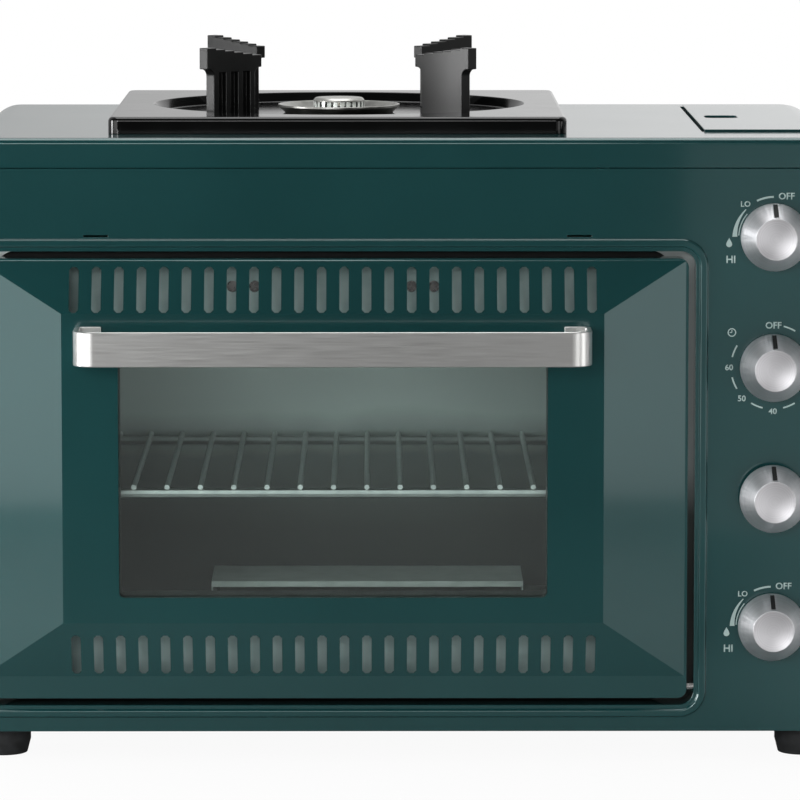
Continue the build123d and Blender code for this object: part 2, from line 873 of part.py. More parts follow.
# inner panel: closes the back of the door, with a tunnel that runs forward to the glass frame
panel_y = front_y + door_depth - sheet
panel_width = door_width - 2 * (sheet + seat_clearance)
panel_height = door_height - 2 * (sheet + seat_clearance)
strike_x = strike_pitches * slot_pitch
rivet_places = [
    (door_offset + side * strike_x + step * slot_pitch / 2, upper_slot_z)
    for side in (-1, 1)
    for step in (-1, 1)
]
with BuildPart() as door_inner_panel:
    with BuildSketch(facing(panel_y)):
        with Locations((door_offset, door_middle)):
            RectangleRounded(panel_width, panel_height, door_corner - sheet)
    extrude(amount=-sheet)
    with BuildSketch(facing(panel_y)):
        with Locations((door_offset, window_middle)):
            RectangleRounded(
                window_width + 2 * sheet, window_height + 2 * sheet, window_corner + sheet
            )
    extrude(amount=panel_y - glass_back - sheet - seat_clearance)
    with BuildSketch(facing(glass_back)):
        with Locations((door_offset, window_middle)):
            RectangleRounded(window_width, window_height, window_corner)
        with Locations(*rivet_places):
            Circle(small_screw / 2 + running_clearance)
    extrude(amount=-(door_depth + raised_rise), mode=Mode.SUBTRACT)
save(door_inner_panel, "door_inner_panel")

# strikes on the back of the panel for the magnets, with their rivets
strike_width = 2 * slot_pitch + small_head
with BuildPart() as door_strikes:
    with BuildSketch(facing(panel_y + sheet)):
        for side in (-1, 1):
            with Locations((door_offset + side * strike_x, upper_slot_z)):
                Rectangle(strike_width, slot_pitch)
        with Locations(*rivet_places):
            Circle(small_screw / 2 + running_clearance, mode=Mode.SUBTRACT)
    extrude(amount=-sheet)
save(door_strikes, "door_strikes")

with BuildPart() as panel_rivets:
    with BuildSketch(facing(panel_y)):
        with Locations(*rivet_places):
            Circle(small_head / 2)
    extrude(amount=screw_head_height)
    with BuildSketch(facing(panel_y)):
        with Locations(*rivet_places):
            Circle(small_screw / 2)
    extrude(amount=-2 * sheet)
save(panel_rivets, "panel_rivets")

# magnets: blocks hung from the roof of the cavity mouth, just clear of the strikes
magnet_y = panel_y + 2 * sheet + seat_clearance
magnet_bottom = upper_slot_z - slot_pitch / 2
magnet_height = cavity_top - magnet_bottom
with BuildPart() as door_magnets:
    with BuildSketch(facing(magnet_y)):
        for side in (-1, 1):
            with Locations((door_offset + side * strike_x, magnet_bottom)):
                Rectangle(2 * slot_pitch, magnet_height, align=(Align.CENTER, Align.MIN))
    extrude(amount=-slot_pitch)
save(door_magnets, "door_magnets")

# handle: flat steel strap, bent back at both ends, with turned-in feet
handle_front = face_y - handle_reach + raised_rise
half_handle = handle_width / 2
with BuildPart() as door_handle:
    with BuildSketch(Plane.XY.offset(handle_middle - handle_height / 2)):
        with BuildLine():
            FilletPolyline(
                (door_offset - half_handle + handle_foot, face_y - handle_strap / 2),
                (door_offset - half_handle + handle_strap / 2, face_y - handle_strap / 2),
                (door_offset - half_handle + handle_strap / 2, handle_front + handle_strap / 2),
                (door_offset + half_handle - handle_strap / 2, handle_front + handle_strap / 2),
                (door_offset + half_handle - handle_strap / 2, face_y - handle_strap / 2),
                (door_offset + half_handle - handle_foot, face_y - handle_strap / 2),
                radius=(handle_strap, handle_bend, handle_bend, handle_strap),
            )
        trace(line_width=handle_strap)
    extrude(amount=handle_height)
    with BuildSketch(facing(face_y)):
        for side in (-1, 1):
            with Locations((door_offset + side * (half_handle - handle_foot / 2), handle_middle)):
                Circle(handle_screw_diameter / 2 + running_clearance)
    extrude(amount=handle_strap, mode=Mode.SUBTRACT)
save(door_handle, "door_handle")

with BuildPart() as handle_screws:
    with BuildSketch(facing(face_y + sheet)):
        for side in (-1, 1):
            with Locations((door_offset + side * (half_handle - handle_foot / 2), handle_middle)):
                Circle(small_head / 2)
    extrude(amount=-screw_head_height)
    with BuildSketch(facing(face_y + sheet)):
        for side in (-1, 1):
            with Locations((door_offset + side * (half_handle - handle_foot / 2), handle_middle)):
                Circle(handle_screw_diameter / 2)
    extrude(amount=sheet + handle_strap)
save(handle_screws, "handle_screws")

# ---------------------------------------------------------------- door hinge
pin_inner = door_width / 2 - sheet - lug_width - hinge_plate
bracket_x = opening_width / 2 + sheet
with BuildPart() as hinge_pins:
    for side in (-1, 1):
        with BuildSketch(Plane.YZ.offset(door_offset + side * pin_inner)):
            with Locations((hinge_y, hinge_z)):
                Circle(hinge_pin_diameter / 2)
        extrude(amount=side * (bracket_x + hinge_plate - pin_inner))
        with BuildSketch(Plane.YZ.offset(door_offset + side * (bracket_x + hinge_plate))):
            with Locations((hinge_y, hinge_z)):
                Circle(hinge_pin_diameter)
        extrude(amount=side * hinge_plate)
save(hinge_pins, "hinge_pins")

with BuildPart() as hinge_brackets:
    for side in (-1, 1):
        with BuildSketch(Plane.YZ.offset(door_offset + side * bracket_x)):
            with Locations((front_y + sheet, hinge_z - bracket_drop)):
                Rectangle(opening_return - sheet, bracket_height, align=(Align.MIN, Align.MIN))
            with Locations((hinge_y, hinge_z)):
                Circle(hinge_pin_diameter / 2 + running_clearance, mode=Mode.SUBTRACT)
        extrude(amount=side * hinge_plate)
save(hinge_brackets, "hinge_brackets")

with BuildPart() as hinge_lugs:
    with BuildSketch(facing(front_y + sheet)):
        with Locations((door_offset, door_middle)):
            RectangleRounded(
                panel_width, panel_height, door_corner - sheet - seat_clearance
            )
            Rectangle(panel_width - 2 * lug_width, panel_height, mode=Mode.SUBTRACT)
        with Locations((door_offset, door_bottom)):
            Rectangle(
                door_width, lug_height, align=(Align.CENTER, Align.MIN), mode=Mode.INTERSECT
            )
    extrude(amount=-(door_depth - 3 * sheet))
    with BuildSketch(Plane.YZ.offset(door_offset - door_width / 2)):
        with Locations((hinge_y, hinge_z)):
            Circle(hinge_pin_diameter / 2 + running_clearance)
    extrude(amount=door_width, mode=Mode.SUBTRACT)
save(hinge_lugs, "hinge_lugs")

# ---------------------------------------------------------------- hob
recess_radius = recess_diameter / 2
with BuildPart() as hob_plate:
    with BuildSketch(Plane.XY.offset(top_z)):
        with Locations((hob_offset, hob_y)):
            RectangleRounded(hob_size, hob_size, hob_corner)
    extrude(amount=hob_height)
    fillet(hob_plate.edges().group_by(Axis.Z)[-1], hob_edge_radius)
    # round recess with a sloping wall
    with BuildSketch(Plane.XY.offset(top_z + hob_height)):
        with Locations((hob_offset, hob_y)):
            Circle(recess_radius)
    with BuildSketch(Plane.XY.offset(recess_z)):
        with Locations((hob_offset, hob_y)):
            Circle(recess_radius - recess_slope)
    loft(mode=Mode.SUBTRACT)
    # hollow below: a ring under the rim, and a shallow disc under the recess
    with BuildSketch(Plane.XY.offset(top_z)):
        with Locations((hob_offset, hob_y)):
            RectangleRounded(hob_size - 2 * hob_skin, hob_size - 2 * hob_skin, hob_corner - hob_skin)
    extrude(amount=hob_height - recess_depth - hob_skin, mode=Mode.SUBTRACT)
    with BuildSketch(Plane.XY.offset(top_z)):
        with Locations((hob_offset, hob_y)):
            RectangleRounded(
                hob_size - 2 * hob_edge_radius,
                hob_size - 2 * hob_edge_radius,
                hob_corner - hob_edge_radius,
            )
            Circle(recess_radius + hob_skin, mode=Mode.SUBTRACT)
    extrude(amount=hob_height - hob_skin, mode=Mode.SUBTRACT)
    with BuildSketch(Plane.XY.offset(top_z)):
        with Locations((hob_offset, hob_y)):
            Circle(throat_diameter / 2 + running_clearance)
        with Locations((hob_offset, hob_y + throat_diameter)):
            Circle(igniter_rod / 2 + running_clearance)
    extrude(amount=hob_height, mode=Mode.SUBTRACT)
save(hob_plate, "hob_plate")

# burner bowl: spun dish round the crown
bowl_radius = bowl_diameter / 2
bowl_foot = bowl_foot_diameter / 2
with BuildPart() as burner_bowl:
    with BuildSketch(Plane((hob_offset, hob_y, recess_z), x_dir=(1, 0, 0), z_dir=(0, -1, 0))):
        with BuildLine():
            Polyline(
                (throat_diameter / 2 + running_clearance, 0),
                (bowl_foot, 0),
                (bowl_radius, bowl_rise - bowl_wall),
                (bowl_radius, bowl_rise),
                (bowl_radius - bowl_wall, bowl_rise),
                (bowl_foot, bowl_wall),
                (throat_diameter / 2 + running_clearance, bowl_wall),
                (throat_diameter / 2 + running_clearance, 0),
            )
        make_face()
    revolve(axis=Axis((hob_offset, hob_y, 0), (0, 0, 1)))
    with BuildSketch(Plane.XY.offset(recess_z)):
        with Locations((hob_offset, hob_y + throat_diameter)):
            Circle(igniter_rod / 2 + running_clearance)
    extrude(amount=bowl_rise, mode=Mode.SUBTRACT)
save(burner_bowl, "burner_bowl")

# throat: tube through the plate and the cover, with the mixing tube to the side
throat_top = recess_z + bowl_wall
throat_bottom = top_z - throat_drop
venturi_z = throat_bottom + venturi_diameter / 2 + sheet
with BuildPart() as burner_throat:
    with BuildSketch(Plane.XY.offset(throat_bottom)):
        with Locations((hob_offset, hob_y)):
            Circle(throat_diameter / 2)
    extrude(amount=throat_top - throat_bottom)
    with BuildSketch(Plane.YZ.offset(hob_offset)):
        with Locations((hob_y, venturi_z)):
            Circle(venturi_diameter / 2)
    extrude(amount=venturi_length)
    with BuildSketch(Plane.YZ.offset(hob_offset)):
        with Locations((hob_y, venturi_z)):
            Circle(venturi_diameter / 2 - burner_wall)
    extrude(amount=venturi_length, mode=Mode.SUBTRACT)
    with BuildSketch(Plane.XY.offset(throat_bottom + burner_wall)):
        with Locations((hob_offset, hob_y)):
            Circle(throat_diameter / 2 - burner_wall)
    extrude(amount=throat_top - throat_bottom, mode=Mode.SUBTRACT)
save(burner_throat, "burner_throat")

# crown: cast ring with radial flame slots
crown_top = throat_top + crown_height
with BuildPart() as burner_crown:
    with BuildSketch(Plane.XY.offset(throat_top)):
        with Locations((hob_offset, hob_y)):
            Circle(crown_diameter / 2)
            Circle(throat_diameter / 2 - burner_wall, mode=Mode.SUBTRACT)
    extrude(amount=crown_height)
    with BuildSketch(Plane.XY.offset(crown_top - tooth_depth)):
        with Locations((hob_offset, hob_y)):
            with PolarLocations(crown_diameter / 2, crown_teeth):
                Rectangle(crown_diameter / 2, tooth_gap)
    extrude(amount=tooth_depth, mode=Mode.SUBTRACT)
save(burner_crown, "burner_crown")

with BuildPart() as burner_cap:
    with BuildSketch(Plane.XY.offset(crown_top)):
        with Locations((hob_offset, hob_y)):
            Circle(crown_diameter / 2)
    extrude(amount=cap_height)
    chamfer(burner_cap.edges().group_by(Axis.Z)[-1], cap_bevel)
save(burner_cap, "burner_cap")

with BuildPart() as hob_igniter:
    with BuildSketch(Plane.XY.offset(top_z - throat_drop / 2)):
        with Locations((hob_offset, hob_y + throat_diameter)):
            Circle(igniter_rod / 2)
    extrude(amount=throat_top + sheet - top_z + throat_drop / 2)
    with BuildSketch(Plane.XY.offset(throat_top + sheet)):
        with Locations((hob_offset, hob_y + throat_diameter)):
            Circle(sheet)
    extrude(amount=tooth_depth)
save(hob_igniter, "hob_igniter")


def pan_support(name, angle):
    """Cast support in a radial upright plane: ribbed post and a head that rises outward in steps."""
    outward = (cos(radians(angle)), sin(radians(angle)), 0)
    across = (sin(radians(angle)), -cos(radians(angle)), 0)
    upright = Plane((hob_offset, hob_y, recess_z), x_dir=outward, z_dir=across)
    head_start = support_radius - head_length / 2
    step_length = head_length / head_steps
    step_rise = (head_outer - head_inner) / (head_steps - 1)
    with BuildPart() as support:
        with BuildSketch(upright) as profile:
            with Locations((support_radius, 0)):
                Rectangle(post_length, post_height, align=(Align.CENTER, Align.MIN))
            for i in range(head_steps):
                with Locations((head_start + i * step_length, post_height)):
                    Rectangle(step_length, head_inner + i * step_rise, align=(Align.MIN, Align.MIN))
            underside = profile.vertices().filter_by(lambda corner: abs(corner.Y - post_height) < sheet / 2)
            fillet(underside.sort_by(Axis.X)[1:-1], post_fillet)
        extrude(amount=support_thickness / 2, both=True)
        # pockets on one side leave upright ribs
        pocket_pitch = (post_length - rib_width) / (rib_count - 1)
        with BuildSketch(upright.offset(-support_thickness / 2)):
            for i in range(rib_count - 1):
                with Locations((support_radius + (i - (rib_count - 2) / 2) * pocket_pitch, 0)):
                    Rectangle(
                        pocket_pitch - rib_width,
                        post_height - post_fillet / 2,
                        align=(Align.CENTER, Align.MIN),
                    )
        extrude(amount=pocket_depth, mode=Mode.SUBTRACT)
    save(support, name)


for index in range(support_count):
    pan_support(f"pan_support_{index + 1}", 45 + index * 360 / support_count)


# ---------------------------------------------------------------- controls
def turned_knob(name, level, gap):
    """Turned metal knob: flared skirt, dished front and a pointer groove."""
    back = front_y - gap
    shoulder = back - skirt_edge
    front = back - knob_height
    skirt = skirt_diameter / 2
    boss = boss_diameter / 2
    dish_radius = (boss**2 + dish_depth**2) / (2 * dish_depth)
    with BuildPart() as knob:
        with BuildSketch(Plane.YZ.offset(knob_x)):
            with BuildLine():
                Polyline((back, level), (back, level + skirt), (shoulder, level + skirt))
                Polyline((shoulder, level + skirt), (front, level + boss), (front, level), (back, level))
            make_face()
        revolve(axis=Axis((knob_x, 0, level), (0, 1, 0)))
        with Locations((knob_x, front + dish_depth - dish_radius, level)):
            Sphere(dish_radius, mode=Mode.SUBTRACT)
        with BuildSketch(Plane.YZ.offset(knob_x)):
            with BuildLine():
                Polyline(
                    (shoulder + notch_depth, level + skirt + sheet),
                    (shoulder + notch_depth, level + skirt),
                    (front + 2 * notch_depth, level + boss + notch_depth / 2),
                    (front - sheet, level + boss + notch_depth / 2),
                    (front - sheet, level + skirt + sheet),
                    (shoulder + notch_depth, level + skirt + sheet),
                )
            make_face()
        extrude(amount=notch_width / 2, both=True, mode=Mode.SUBTRACT)
        with BuildSketch(facing(back)):
            with Locations((knob_x, level)):
                Circle(stem_diameter / 2 + running_clearance / 2)
        extrude(amount=knob_height / 2, mode=Mode.SUBTRACT)
    save(knob, name)


def stem(name, level, gap, reach):
    """Round spindle with a flat, from inside a knob to reach behind the fascia's face."""
    start = front_y - gap - knob_height / 2
    with BuildPart() as spindle:
        with BuildSketch(facing(start)):
            with Locations((knob_x, level)):
                Circle(stem_diameter / 2)
        extrude(amount=-(front_y + reach - start))
        with BuildSketch(facing(start)):
            with Locations((knob_x, level + stem_diameter / 2 - stem_flat)):
                Rectangle(stem_diameter, stem_diameter, align=(Align.CENTER, Align.MIN))
        extrude(amount=-knob_height / 2, mode=Mode.SUBTRACT)
    save(spindle, name)


def gas_valve(name, level):
    """Brass valve body with a round neck behind the fascia and a bore for the spindle."""
    neck_y = front_y + sheet
    with BuildPart() as valve:
        with BuildSketch(facing(neck_y)):
            with Locations((knob_x, level)):
                Circle(valve_neck / 2)
        extrude(amount=-valve_neck_length)
        with BuildSketch(facing(neck_y + valve_neck_length)):
            with Locations((knob_x, level)):
                RectangleRounded(valve_width, valve_height, valve_neck_length)
        extrude(amount=-(valve_depth - valve_neck_length))
        with BuildSketch(facing(neck_y)):
            with Locations((knob_x, level)):
                Circle(stem_diameter / 2 + running_clearance)
        extrude(amount=-valve_depth / 2, mode=Mode.SUBTRACT)
    save(valve, name)


valve_reach = valve_depth / 2 - 2 * sheet
turned_knob("hob_knob", hob_knob_z, knob_gap)
turned_knob("timer_knob", timer_z, knob_gap)
turned_knob("ignition_button", button_z, knob_gap + button_travel)
turned_knob("oven_knob", oven_knob_z, knob_gap)
stem("hob_stem", hob_knob_z, knob_gap, valve_reach)
stem("timer_stem", timer_z, knob_gap, valve_reach)
stem("oven_stem", oven_knob_z, knob_gap, valve_reach)
stem("button_plunger", button_z, knob_gap + button_travel, valve_reach - button_travel)
gas_valve("hob_valve", hob_knob_z)
gas_valve("oven_valve", oven_knob_z)

# timer: square clockwork case with a bell behind it
with BuildPart() as timer_case:
    with BuildSketch(facing(front_y + sheet)):
        with Locations((knob_x, timer_z)):
            RectangleRounded(timer_size, timer_size, valve_neck_length)
    extrude(amount=-timer_depth)
    with BuildSketch(facing(front_y + sheet)):
        with Locations((knob_x, timer_z)):
            Circle(stem_diameter / 2 + running_clearance)
    extrude(amount=-valve_depth / 2, mode=Mode.SUBTRACT)
save(timer_case, "timer_case")

bell_y = front_y + sheet + timer_depth
with BuildPart() as timer_bell:
    with BuildSketch(facing(bell_y)):
        with Locations((knob_x, timer_z)):
            Circle(bell_diameter / 2)
    extrude(amount=-bell_height)
    chamfer(timer_bell.edges().group_by(Axis.Y)[-1], bell_bevel)
save(timer_bell, "timer_bell")

# piezo igniter: tube with a flange nut, bored for the plunger and its spring
with BuildPart() as piezo_igniter:
    with BuildSketch(facing(front_y + sheet)):
        with Locations((knob_x, button_z)):
            Circle(piezo_nut / 2)
    extrude(amount=-2 * valve_neck_length)
    with BuildSketch(facing(front_y + sheet)):
        with Locations((knob_x, button_z)):
            Circle(piezo_diameter / 2)
    extrude(amount=-piezo_length)
    with BuildSketch(facing(front_y + sheet)):
        with Locations((knob_x, button_z)):
            Circle(stem_diameter / 2 + running_clearance)
    extrude(amount=-valve_depth / 2, mode=Mode.SUBTRACT)
save(piezo_igniter, "piezo_igniter")

# ---------------------------------------------------------------- gas bay
bay_left = lid_left - lid_gap - sheet / 2
bay_front = lid_front - lid_gap - sheet / 2
bay_length = lid_length + 2 * lid_gap + sheet
bay_right = right_x - 3 * sheet
bay_outline = case_outline(sheet + seat_clearance)
side_wall_top = lid_axis_z - knuckle_diameter - seat_clearance
with BuildPart() as gas_bay_tray:
    with BuildSketch(facing(bay_front)):
        add(bay_outline)
        with Locations((bay_left - sheet, bay_bottom)):
            Rectangle(
                bay_right - bay_left + sheet,
                cabinet_height,
                align=(Align.MIN, Align.MIN),
                mode=Mode.INTERSECT,
            )
    extrude(amount=-bay_length)
    with BuildSketch(facing(bay_front + sheet)):
        with Locations((bay_left, bay_bottom + sheet)):
            Rectangle(bay_right - bay_left - sheet, cabinet_height, align=(Align.MIN, Align.MIN))
    extrude(amount=-(bay_length - 2 * sheet), mode=Mode.SUBTRACT)
    with BuildSketch(facing(bay_front + sheet)):
        with Locations((bay_right - 2 * sheet, side_wall_top)):
            Rectangle(cabinet_width, cabinet_height, align=(Align.MIN, Align.MIN))
    extrude(amount=-(bay_length - 2 * sheet), mode=Mode.SUBTRACT)
    # ledge that the closed lid's left edge rests on
    with BuildSketch(facing(bay_front + sheet)):
        with Locations((bay_left, top_z + lid_rise - lid_flange - seat_clearance)):
            Rectangle(2 * lid_gap + 3 * sheet, sheet, align=(Align.MIN, Align.MAX))
    extrude(amount=-(bay_length - 2 * sheet))
    # hole for the regulator's outlet
    with BuildSketch(facing(bay_front)):
        with Locations((cartridge_x, cartridge_z)):
            Circle(valve_neck / 2 + running_clearance)
    extrude(amount=-sheet, mode=Mode.SUBTRACT)
save(gas_bay_tray, "gas_bay_tray")

# regulator: round body with a bayonet collar, its outlet joins the hob valve
regulator_y = bay_front + sheet
valve_back = front_y + sheet + valve_depth
with BuildPart() as gas_regulator:
    with BuildSketch(facing(regulator_y)):
        with Locations((cartridge_x, cartridge_z)):
            Circle(regulator_diameter / 2)
    extrude(amount=-regulator_length)
    with BuildSketch(facing(regulator_y + regulator_length / 2)):
        with Locations((cartridge_x, cartridge_z)):
            Circle(regulator_diameter / 2 - 2 * sheet)
    extrude(amount=-regulator_length, mode=Mode.SUBTRACT)
    with BuildSketch(facing(regulator_y + regulator_length)):
        with Locations((cartridge_x, cartridge_z)):
            Circle(regulator_diameter / 2)
            Circle(regulator_diameter / 2 - 4 * sheet, mode=Mode.SUBTRACT)
            Rectangle(regulator_diameter, 3 * valve_neck_length, mode=Mode.SUBTRACT)
    extrude(amount=2 * sheet)
    with BuildSketch(facing(regulator_y)):
        with Locations((cartridge_x, cartridge_z)):
            Circle(valve_neck / 2)
    extrude(amount=regulator_y - valve_back)
save(gas_regulator, "gas_regulator")

# lid: sheet that follows the bend, with turned-down edges and a finger recess
knuckle_length = lid_length / knuckle_count
with BuildSketch() as lid_skin_profile:
    with Locations((0, bottom_z)):
        Rectangle(cabinet_width, cabinet_height + lid_rise, align=(Align.CENTER, Align.MIN))
    fillet(lid_skin_profile.vertices().group_by(Axis.Y)[-1], bend_radius)
with BuildSketch() as lid_inner_profile:
    with Locations((0, bottom_z)):
        Rectangle(
            cabinet_width - 2 * sheet,
            cabinet_height + lid_rise - sheet,
            align=(Align.CENTER, Align.MIN),
        )
    fillet(lid_inner_profile.vertices().group_by(Axis.Y)[-1], bend_radius - sheet)
with BuildSketch() as lid_flange_profile:
    with Locations((0, bottom_z)):
        Rectangle(
            cabinet_width - 2 * lid_flange,
            cabinet_height + lid_rise - lid_flange,
            align=(Align.CENTER, Align.MIN),
        )
    fillet(lid_flange_profile.vertices().group_by(Axis.Y)[-1], bend_radius - lid_flange)

finger_x = lid_left + finger_inset
finger_y = lid_front + lid_length / 2
with BuildPart() as gas_lid:
    with BuildSketch(facing(lid_front)):
        add(lid_skin_profile.sketch)
        add(lid_inner_profile.sketch, mode=Mode.SUBTRACT)
        with Locations((lid_left, lid_axis_z)):
            Rectangle(cabinet_width, cabinet_height, align=(Align.MIN, Align.MIN), mode=Mode.INTERSECT)
    extrude(amount=-lid_length)
    for flange_y in (lid_front, lid_back - sheet):
        with BuildSketch(facing(flange_y)):
            add(lid_skin_profile.sketch)
            add(lid_flange_profile.sketch, mode=Mode.SUBTRACT)
            with Locations((lid_left, lid_axis_z + 2 * knuckle_diameter)):
                Rectangle(
                    cabinet_width, cabinet_height, align=(Align.MIN, Align.MIN), mode=Mode.INTERSECT
                )
        extrude(amount=-sheet)
    with BuildSketch(facing(lid_front)):
        with Locations((lid_left, top_z + lid_rise)):
            Rectangle(sheet, lid_flange, align=(Align.MIN, Align.MAX))
    extrude(amount=-lid_length)
    # finger recess
    with BuildSketch(Plane.XY.offset(top_z + lid_rise)):
        with Locations((finger_x + finger_width / 2, finger_y)):
            RectangleRounded(finger_width, finger_length, finger_inset)
    extrude(amount=-finger_depth)
    with BuildSketch(Plane.XY.offset(top_z + lid_rise)):
        with Locations((finger_x + finger_width / 2, finger_y)):
            RectangleRounded(
                finger_width - 2 * sheet, finger_length - 2 * sheet, finger_inset - sheet
            )
    extrude(amount=-(finger_depth - sheet), mode=Mode.SUBTRACT)
    # knuckles at the ends and the middle of the hinge
    for i in range(0, knuckle_count, 2):
        with BuildSketch(facing(lid_front + i * knuckle_length)):
            with Locations((lid_axis_x, lid_axis_z)):
                Circle(knuckle_diameter / 2)
        extrude(amount=-knuckle_length)
    for i in range(1, knuckle_count, 2):
        with BuildSketch(facing(lid_front + i * knuckle_length - seat_clearance)):
            with Locations((lid_axis_x, lid_axis_z + knuckle_cut)):
                Rectangle(2 * knuckle_diameter, 2 * knuckle_diameter, align=(Align.CENTER, Align.MAX))
        extrude(amount=-(knuckle_length + 2 * seat_clearance), mode=Mode.SUBTRACT)
    with BuildSketch(facing(lid_front)):
        with Locations((lid_axis_x, lid_axis_z)):
            Circle(lid_pin_diameter / 2 + running_clearance)
    extrude(amount=-lid_length, mode=Mode.SUBTRACT)
save(gas_lid, "gas_lid")

# fixed leaf: strip inside the case wall with the knuckles between the lid's
leaf_top = lid_axis_z - knuckle_diameter / 2 - 2 * seat_clearance
with BuildPart() as lid_hinge_leaf:
    with BuildSketch(facing(lid_front)):
        with Locations((right_x - sheet, leaf_top)):
            Rectangle(sheet, leaf_height, align=(Align.MAX, Align.MAX))
    extrude(amount=-lid_length)
    for i in range(1, knuckle_count, 2):
        with BuildSketch(facing(lid_front + i * knuckle_length + seat_clearance)):
            with Locations((lid_axis_x, lid_axis_z)):
                Circle(knuckle_diameter / 2)
            with Locations((right_x - sheet, lid_axis_z)):
                Rectangle(sheet, knuckle_diameter, align=(Align.MAX, Align.MAX))
            with Locations((lid_axis_x, lid_axis_z)):
                Circle(lid_pin_diameter / 2 + running_clearance, mode=Mode.SUBTRACT)
        extrude(amount=-(knuckle_length - 2 * seat_clearance))
save(lid_hinge_leaf, "lid_hinge_leaf")

with BuildPart() as lid_hinge_pin:
    with BuildSketch(facing(lid_front)):
        with Locations((lid_axis_x, lid_axis_z)):
            Circle(lid_pin_diameter / 2)
    extrude(amount=-lid_length)
save(lid_hinge_pin, "lid_hinge_pin")


# ---------------------------------------------------------------- gas pipes
def pipe(name, points):
    """Bent metal tube along straight runs joined by tangent arcs."""
    with BuildPart() as tube:
        with BuildLine():
            route = FilletPolyline(*points, radius=pipe_bend)
        with BuildSketch(Plane(route @ 0, z_dir=route % 0)):
            RegularPolygon(pipe_diameter / 2, pipe_sides)
        sweep(path=route)
    save(tube, name)


valve_y = front_y + sheet + valve_depth / 2
valve_side = knob_x - valve_width / 2
venturi_end = hob_offset + venturi_length
hob_pipe_x = cavity_right + blanket_outer / 2 + 2 * pipe_diameter - pipe_spacing
pipe(
    "hob_gas_pipe",
    [
        (valve_side, valve_y, hob_knob_z),
        (hob_pipe_x, valve_y, hob_knob_z),
        (hob_pipe_x, valve_y, venturi_z),
        (hob_pipe_x, hob_y, venturi_z),
        (venturi_end, hob_y, venturi_z),
    ],
)
pipe(
    "oven_gas_pipe",
    [
        (knob_x, valve_back, oven_knob_z),
        (knob_x, tube_y, oven_knob_z),
        (knob_x, tube_y, tube_z),
        (cavity_right + 3 * insulation, tube_y, tube_z),
    ],
)
hob_valve_bottom = hob_knob_z - valve_height / 2
oven_valve_top = oven_knob_z + valve_height / 2
side_lane = knob_x + timer_size / 2 + pipe_diameter
pipe(
    "supply_gas_pipe",
    [
        (knob_x, valve_y, hob_valve_bottom),
        (knob_x, valve_y, hob_valve_bottom - 2 * pipe_diameter),
        (side_lane, valve_y, hob_valve_bottom - 2 * pipe_diameter),
        (side_lane, valve_y, oven_valve_top + 3 * pipe_diameter),
        (knob_x, valve_y, oven_valve_top + 3 * pipe_diameter),
        (knob_x, valve_y, oven_valve_top),
    ],
)
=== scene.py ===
import bmesh
import bpy
import json
from math import atan2, cos, degrees, pi, radians, sin
from mathutils import Matrix, Vector

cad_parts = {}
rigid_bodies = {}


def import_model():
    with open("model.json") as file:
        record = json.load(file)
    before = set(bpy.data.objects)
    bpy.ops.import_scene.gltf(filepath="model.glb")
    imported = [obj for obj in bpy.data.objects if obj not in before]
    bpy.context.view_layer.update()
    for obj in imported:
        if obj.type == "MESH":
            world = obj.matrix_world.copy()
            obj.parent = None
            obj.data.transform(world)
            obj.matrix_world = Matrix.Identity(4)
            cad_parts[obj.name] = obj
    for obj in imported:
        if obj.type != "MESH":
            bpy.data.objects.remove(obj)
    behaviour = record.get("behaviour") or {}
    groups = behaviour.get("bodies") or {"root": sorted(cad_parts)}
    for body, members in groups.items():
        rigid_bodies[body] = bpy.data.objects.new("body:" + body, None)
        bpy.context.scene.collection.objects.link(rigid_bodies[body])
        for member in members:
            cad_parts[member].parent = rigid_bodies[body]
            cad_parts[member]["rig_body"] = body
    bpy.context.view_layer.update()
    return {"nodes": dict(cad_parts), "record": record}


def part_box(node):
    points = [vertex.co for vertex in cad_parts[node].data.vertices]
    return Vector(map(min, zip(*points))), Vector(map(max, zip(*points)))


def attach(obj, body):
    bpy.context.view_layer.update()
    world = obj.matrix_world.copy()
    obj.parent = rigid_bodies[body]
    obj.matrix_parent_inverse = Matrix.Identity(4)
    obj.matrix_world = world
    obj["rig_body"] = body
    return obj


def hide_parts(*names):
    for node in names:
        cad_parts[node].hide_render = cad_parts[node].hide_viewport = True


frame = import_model()
nodes = frame["nodes"]

# Portable gas oven with a hob: finishes for its solids, softened edges, dial markings and a
# studio. Metres, with sizes of the oven given in millimetres times MM; the front faces -Y.


def middle(node_name):
    """Centre of a solid's box."""
    low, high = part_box(node_name)
    return (Vector(low) + Vector(high)) / 2


MM = 0.001
PANEL_Y = -123 * MM                           # the fascia's flat front
WINDOW_WALL = Vector((118 * MM, 0, 72 * MM))  # half the opening behind the window, walls included
KNOBS = ("hob_knob", "timer_knob", "ignition_button", "oven_knob")
KNOB_X = middle("hob_knob").x
LEVEL = {knob: middle(knob).z for knob in KNOBS}
KNOB_PITCH = 70 * MM                          # from one knob's axis up to the next
INK = 0.05 * MM                               # thickness of the printed film
PAINT = 0.15 * MM                             # thickness of the paint in the knobs' grooves
UPRIGHT = Matrix.Rotation(radians(90), 3, "X")  # stands a flat drawing up, facing the front


# ---------------------------------------------------------------- colours and nodes
def linear(code):
    """Turns an sRGB hex colour into the linear colour that shaders use."""
    channels = [int(code[i:i + 2], 16) / 255 for i in (1, 3, 5)]
    return (
        *(c / 12.92 if c <= 0.04045 else ((c + 0.055) / 1.055) ** 2.4 for c in channels),
        1.0,
    )


def add(tree, kind, inputs=None, **settings):
    """Adds one node: settings are its own properties, inputs its values or links."""
    made = tree.nodes.new(kind)
    for name, value in settings.items():
        setattr(made, name, value)
    for name, value in (inputs or {}).items():
        socket = made.inputs[name]
        if isinstance(value, bpy.types.NodeSocket):
            tree.links.new(value, socket)
        else:
            socket.default_value = value
    return made


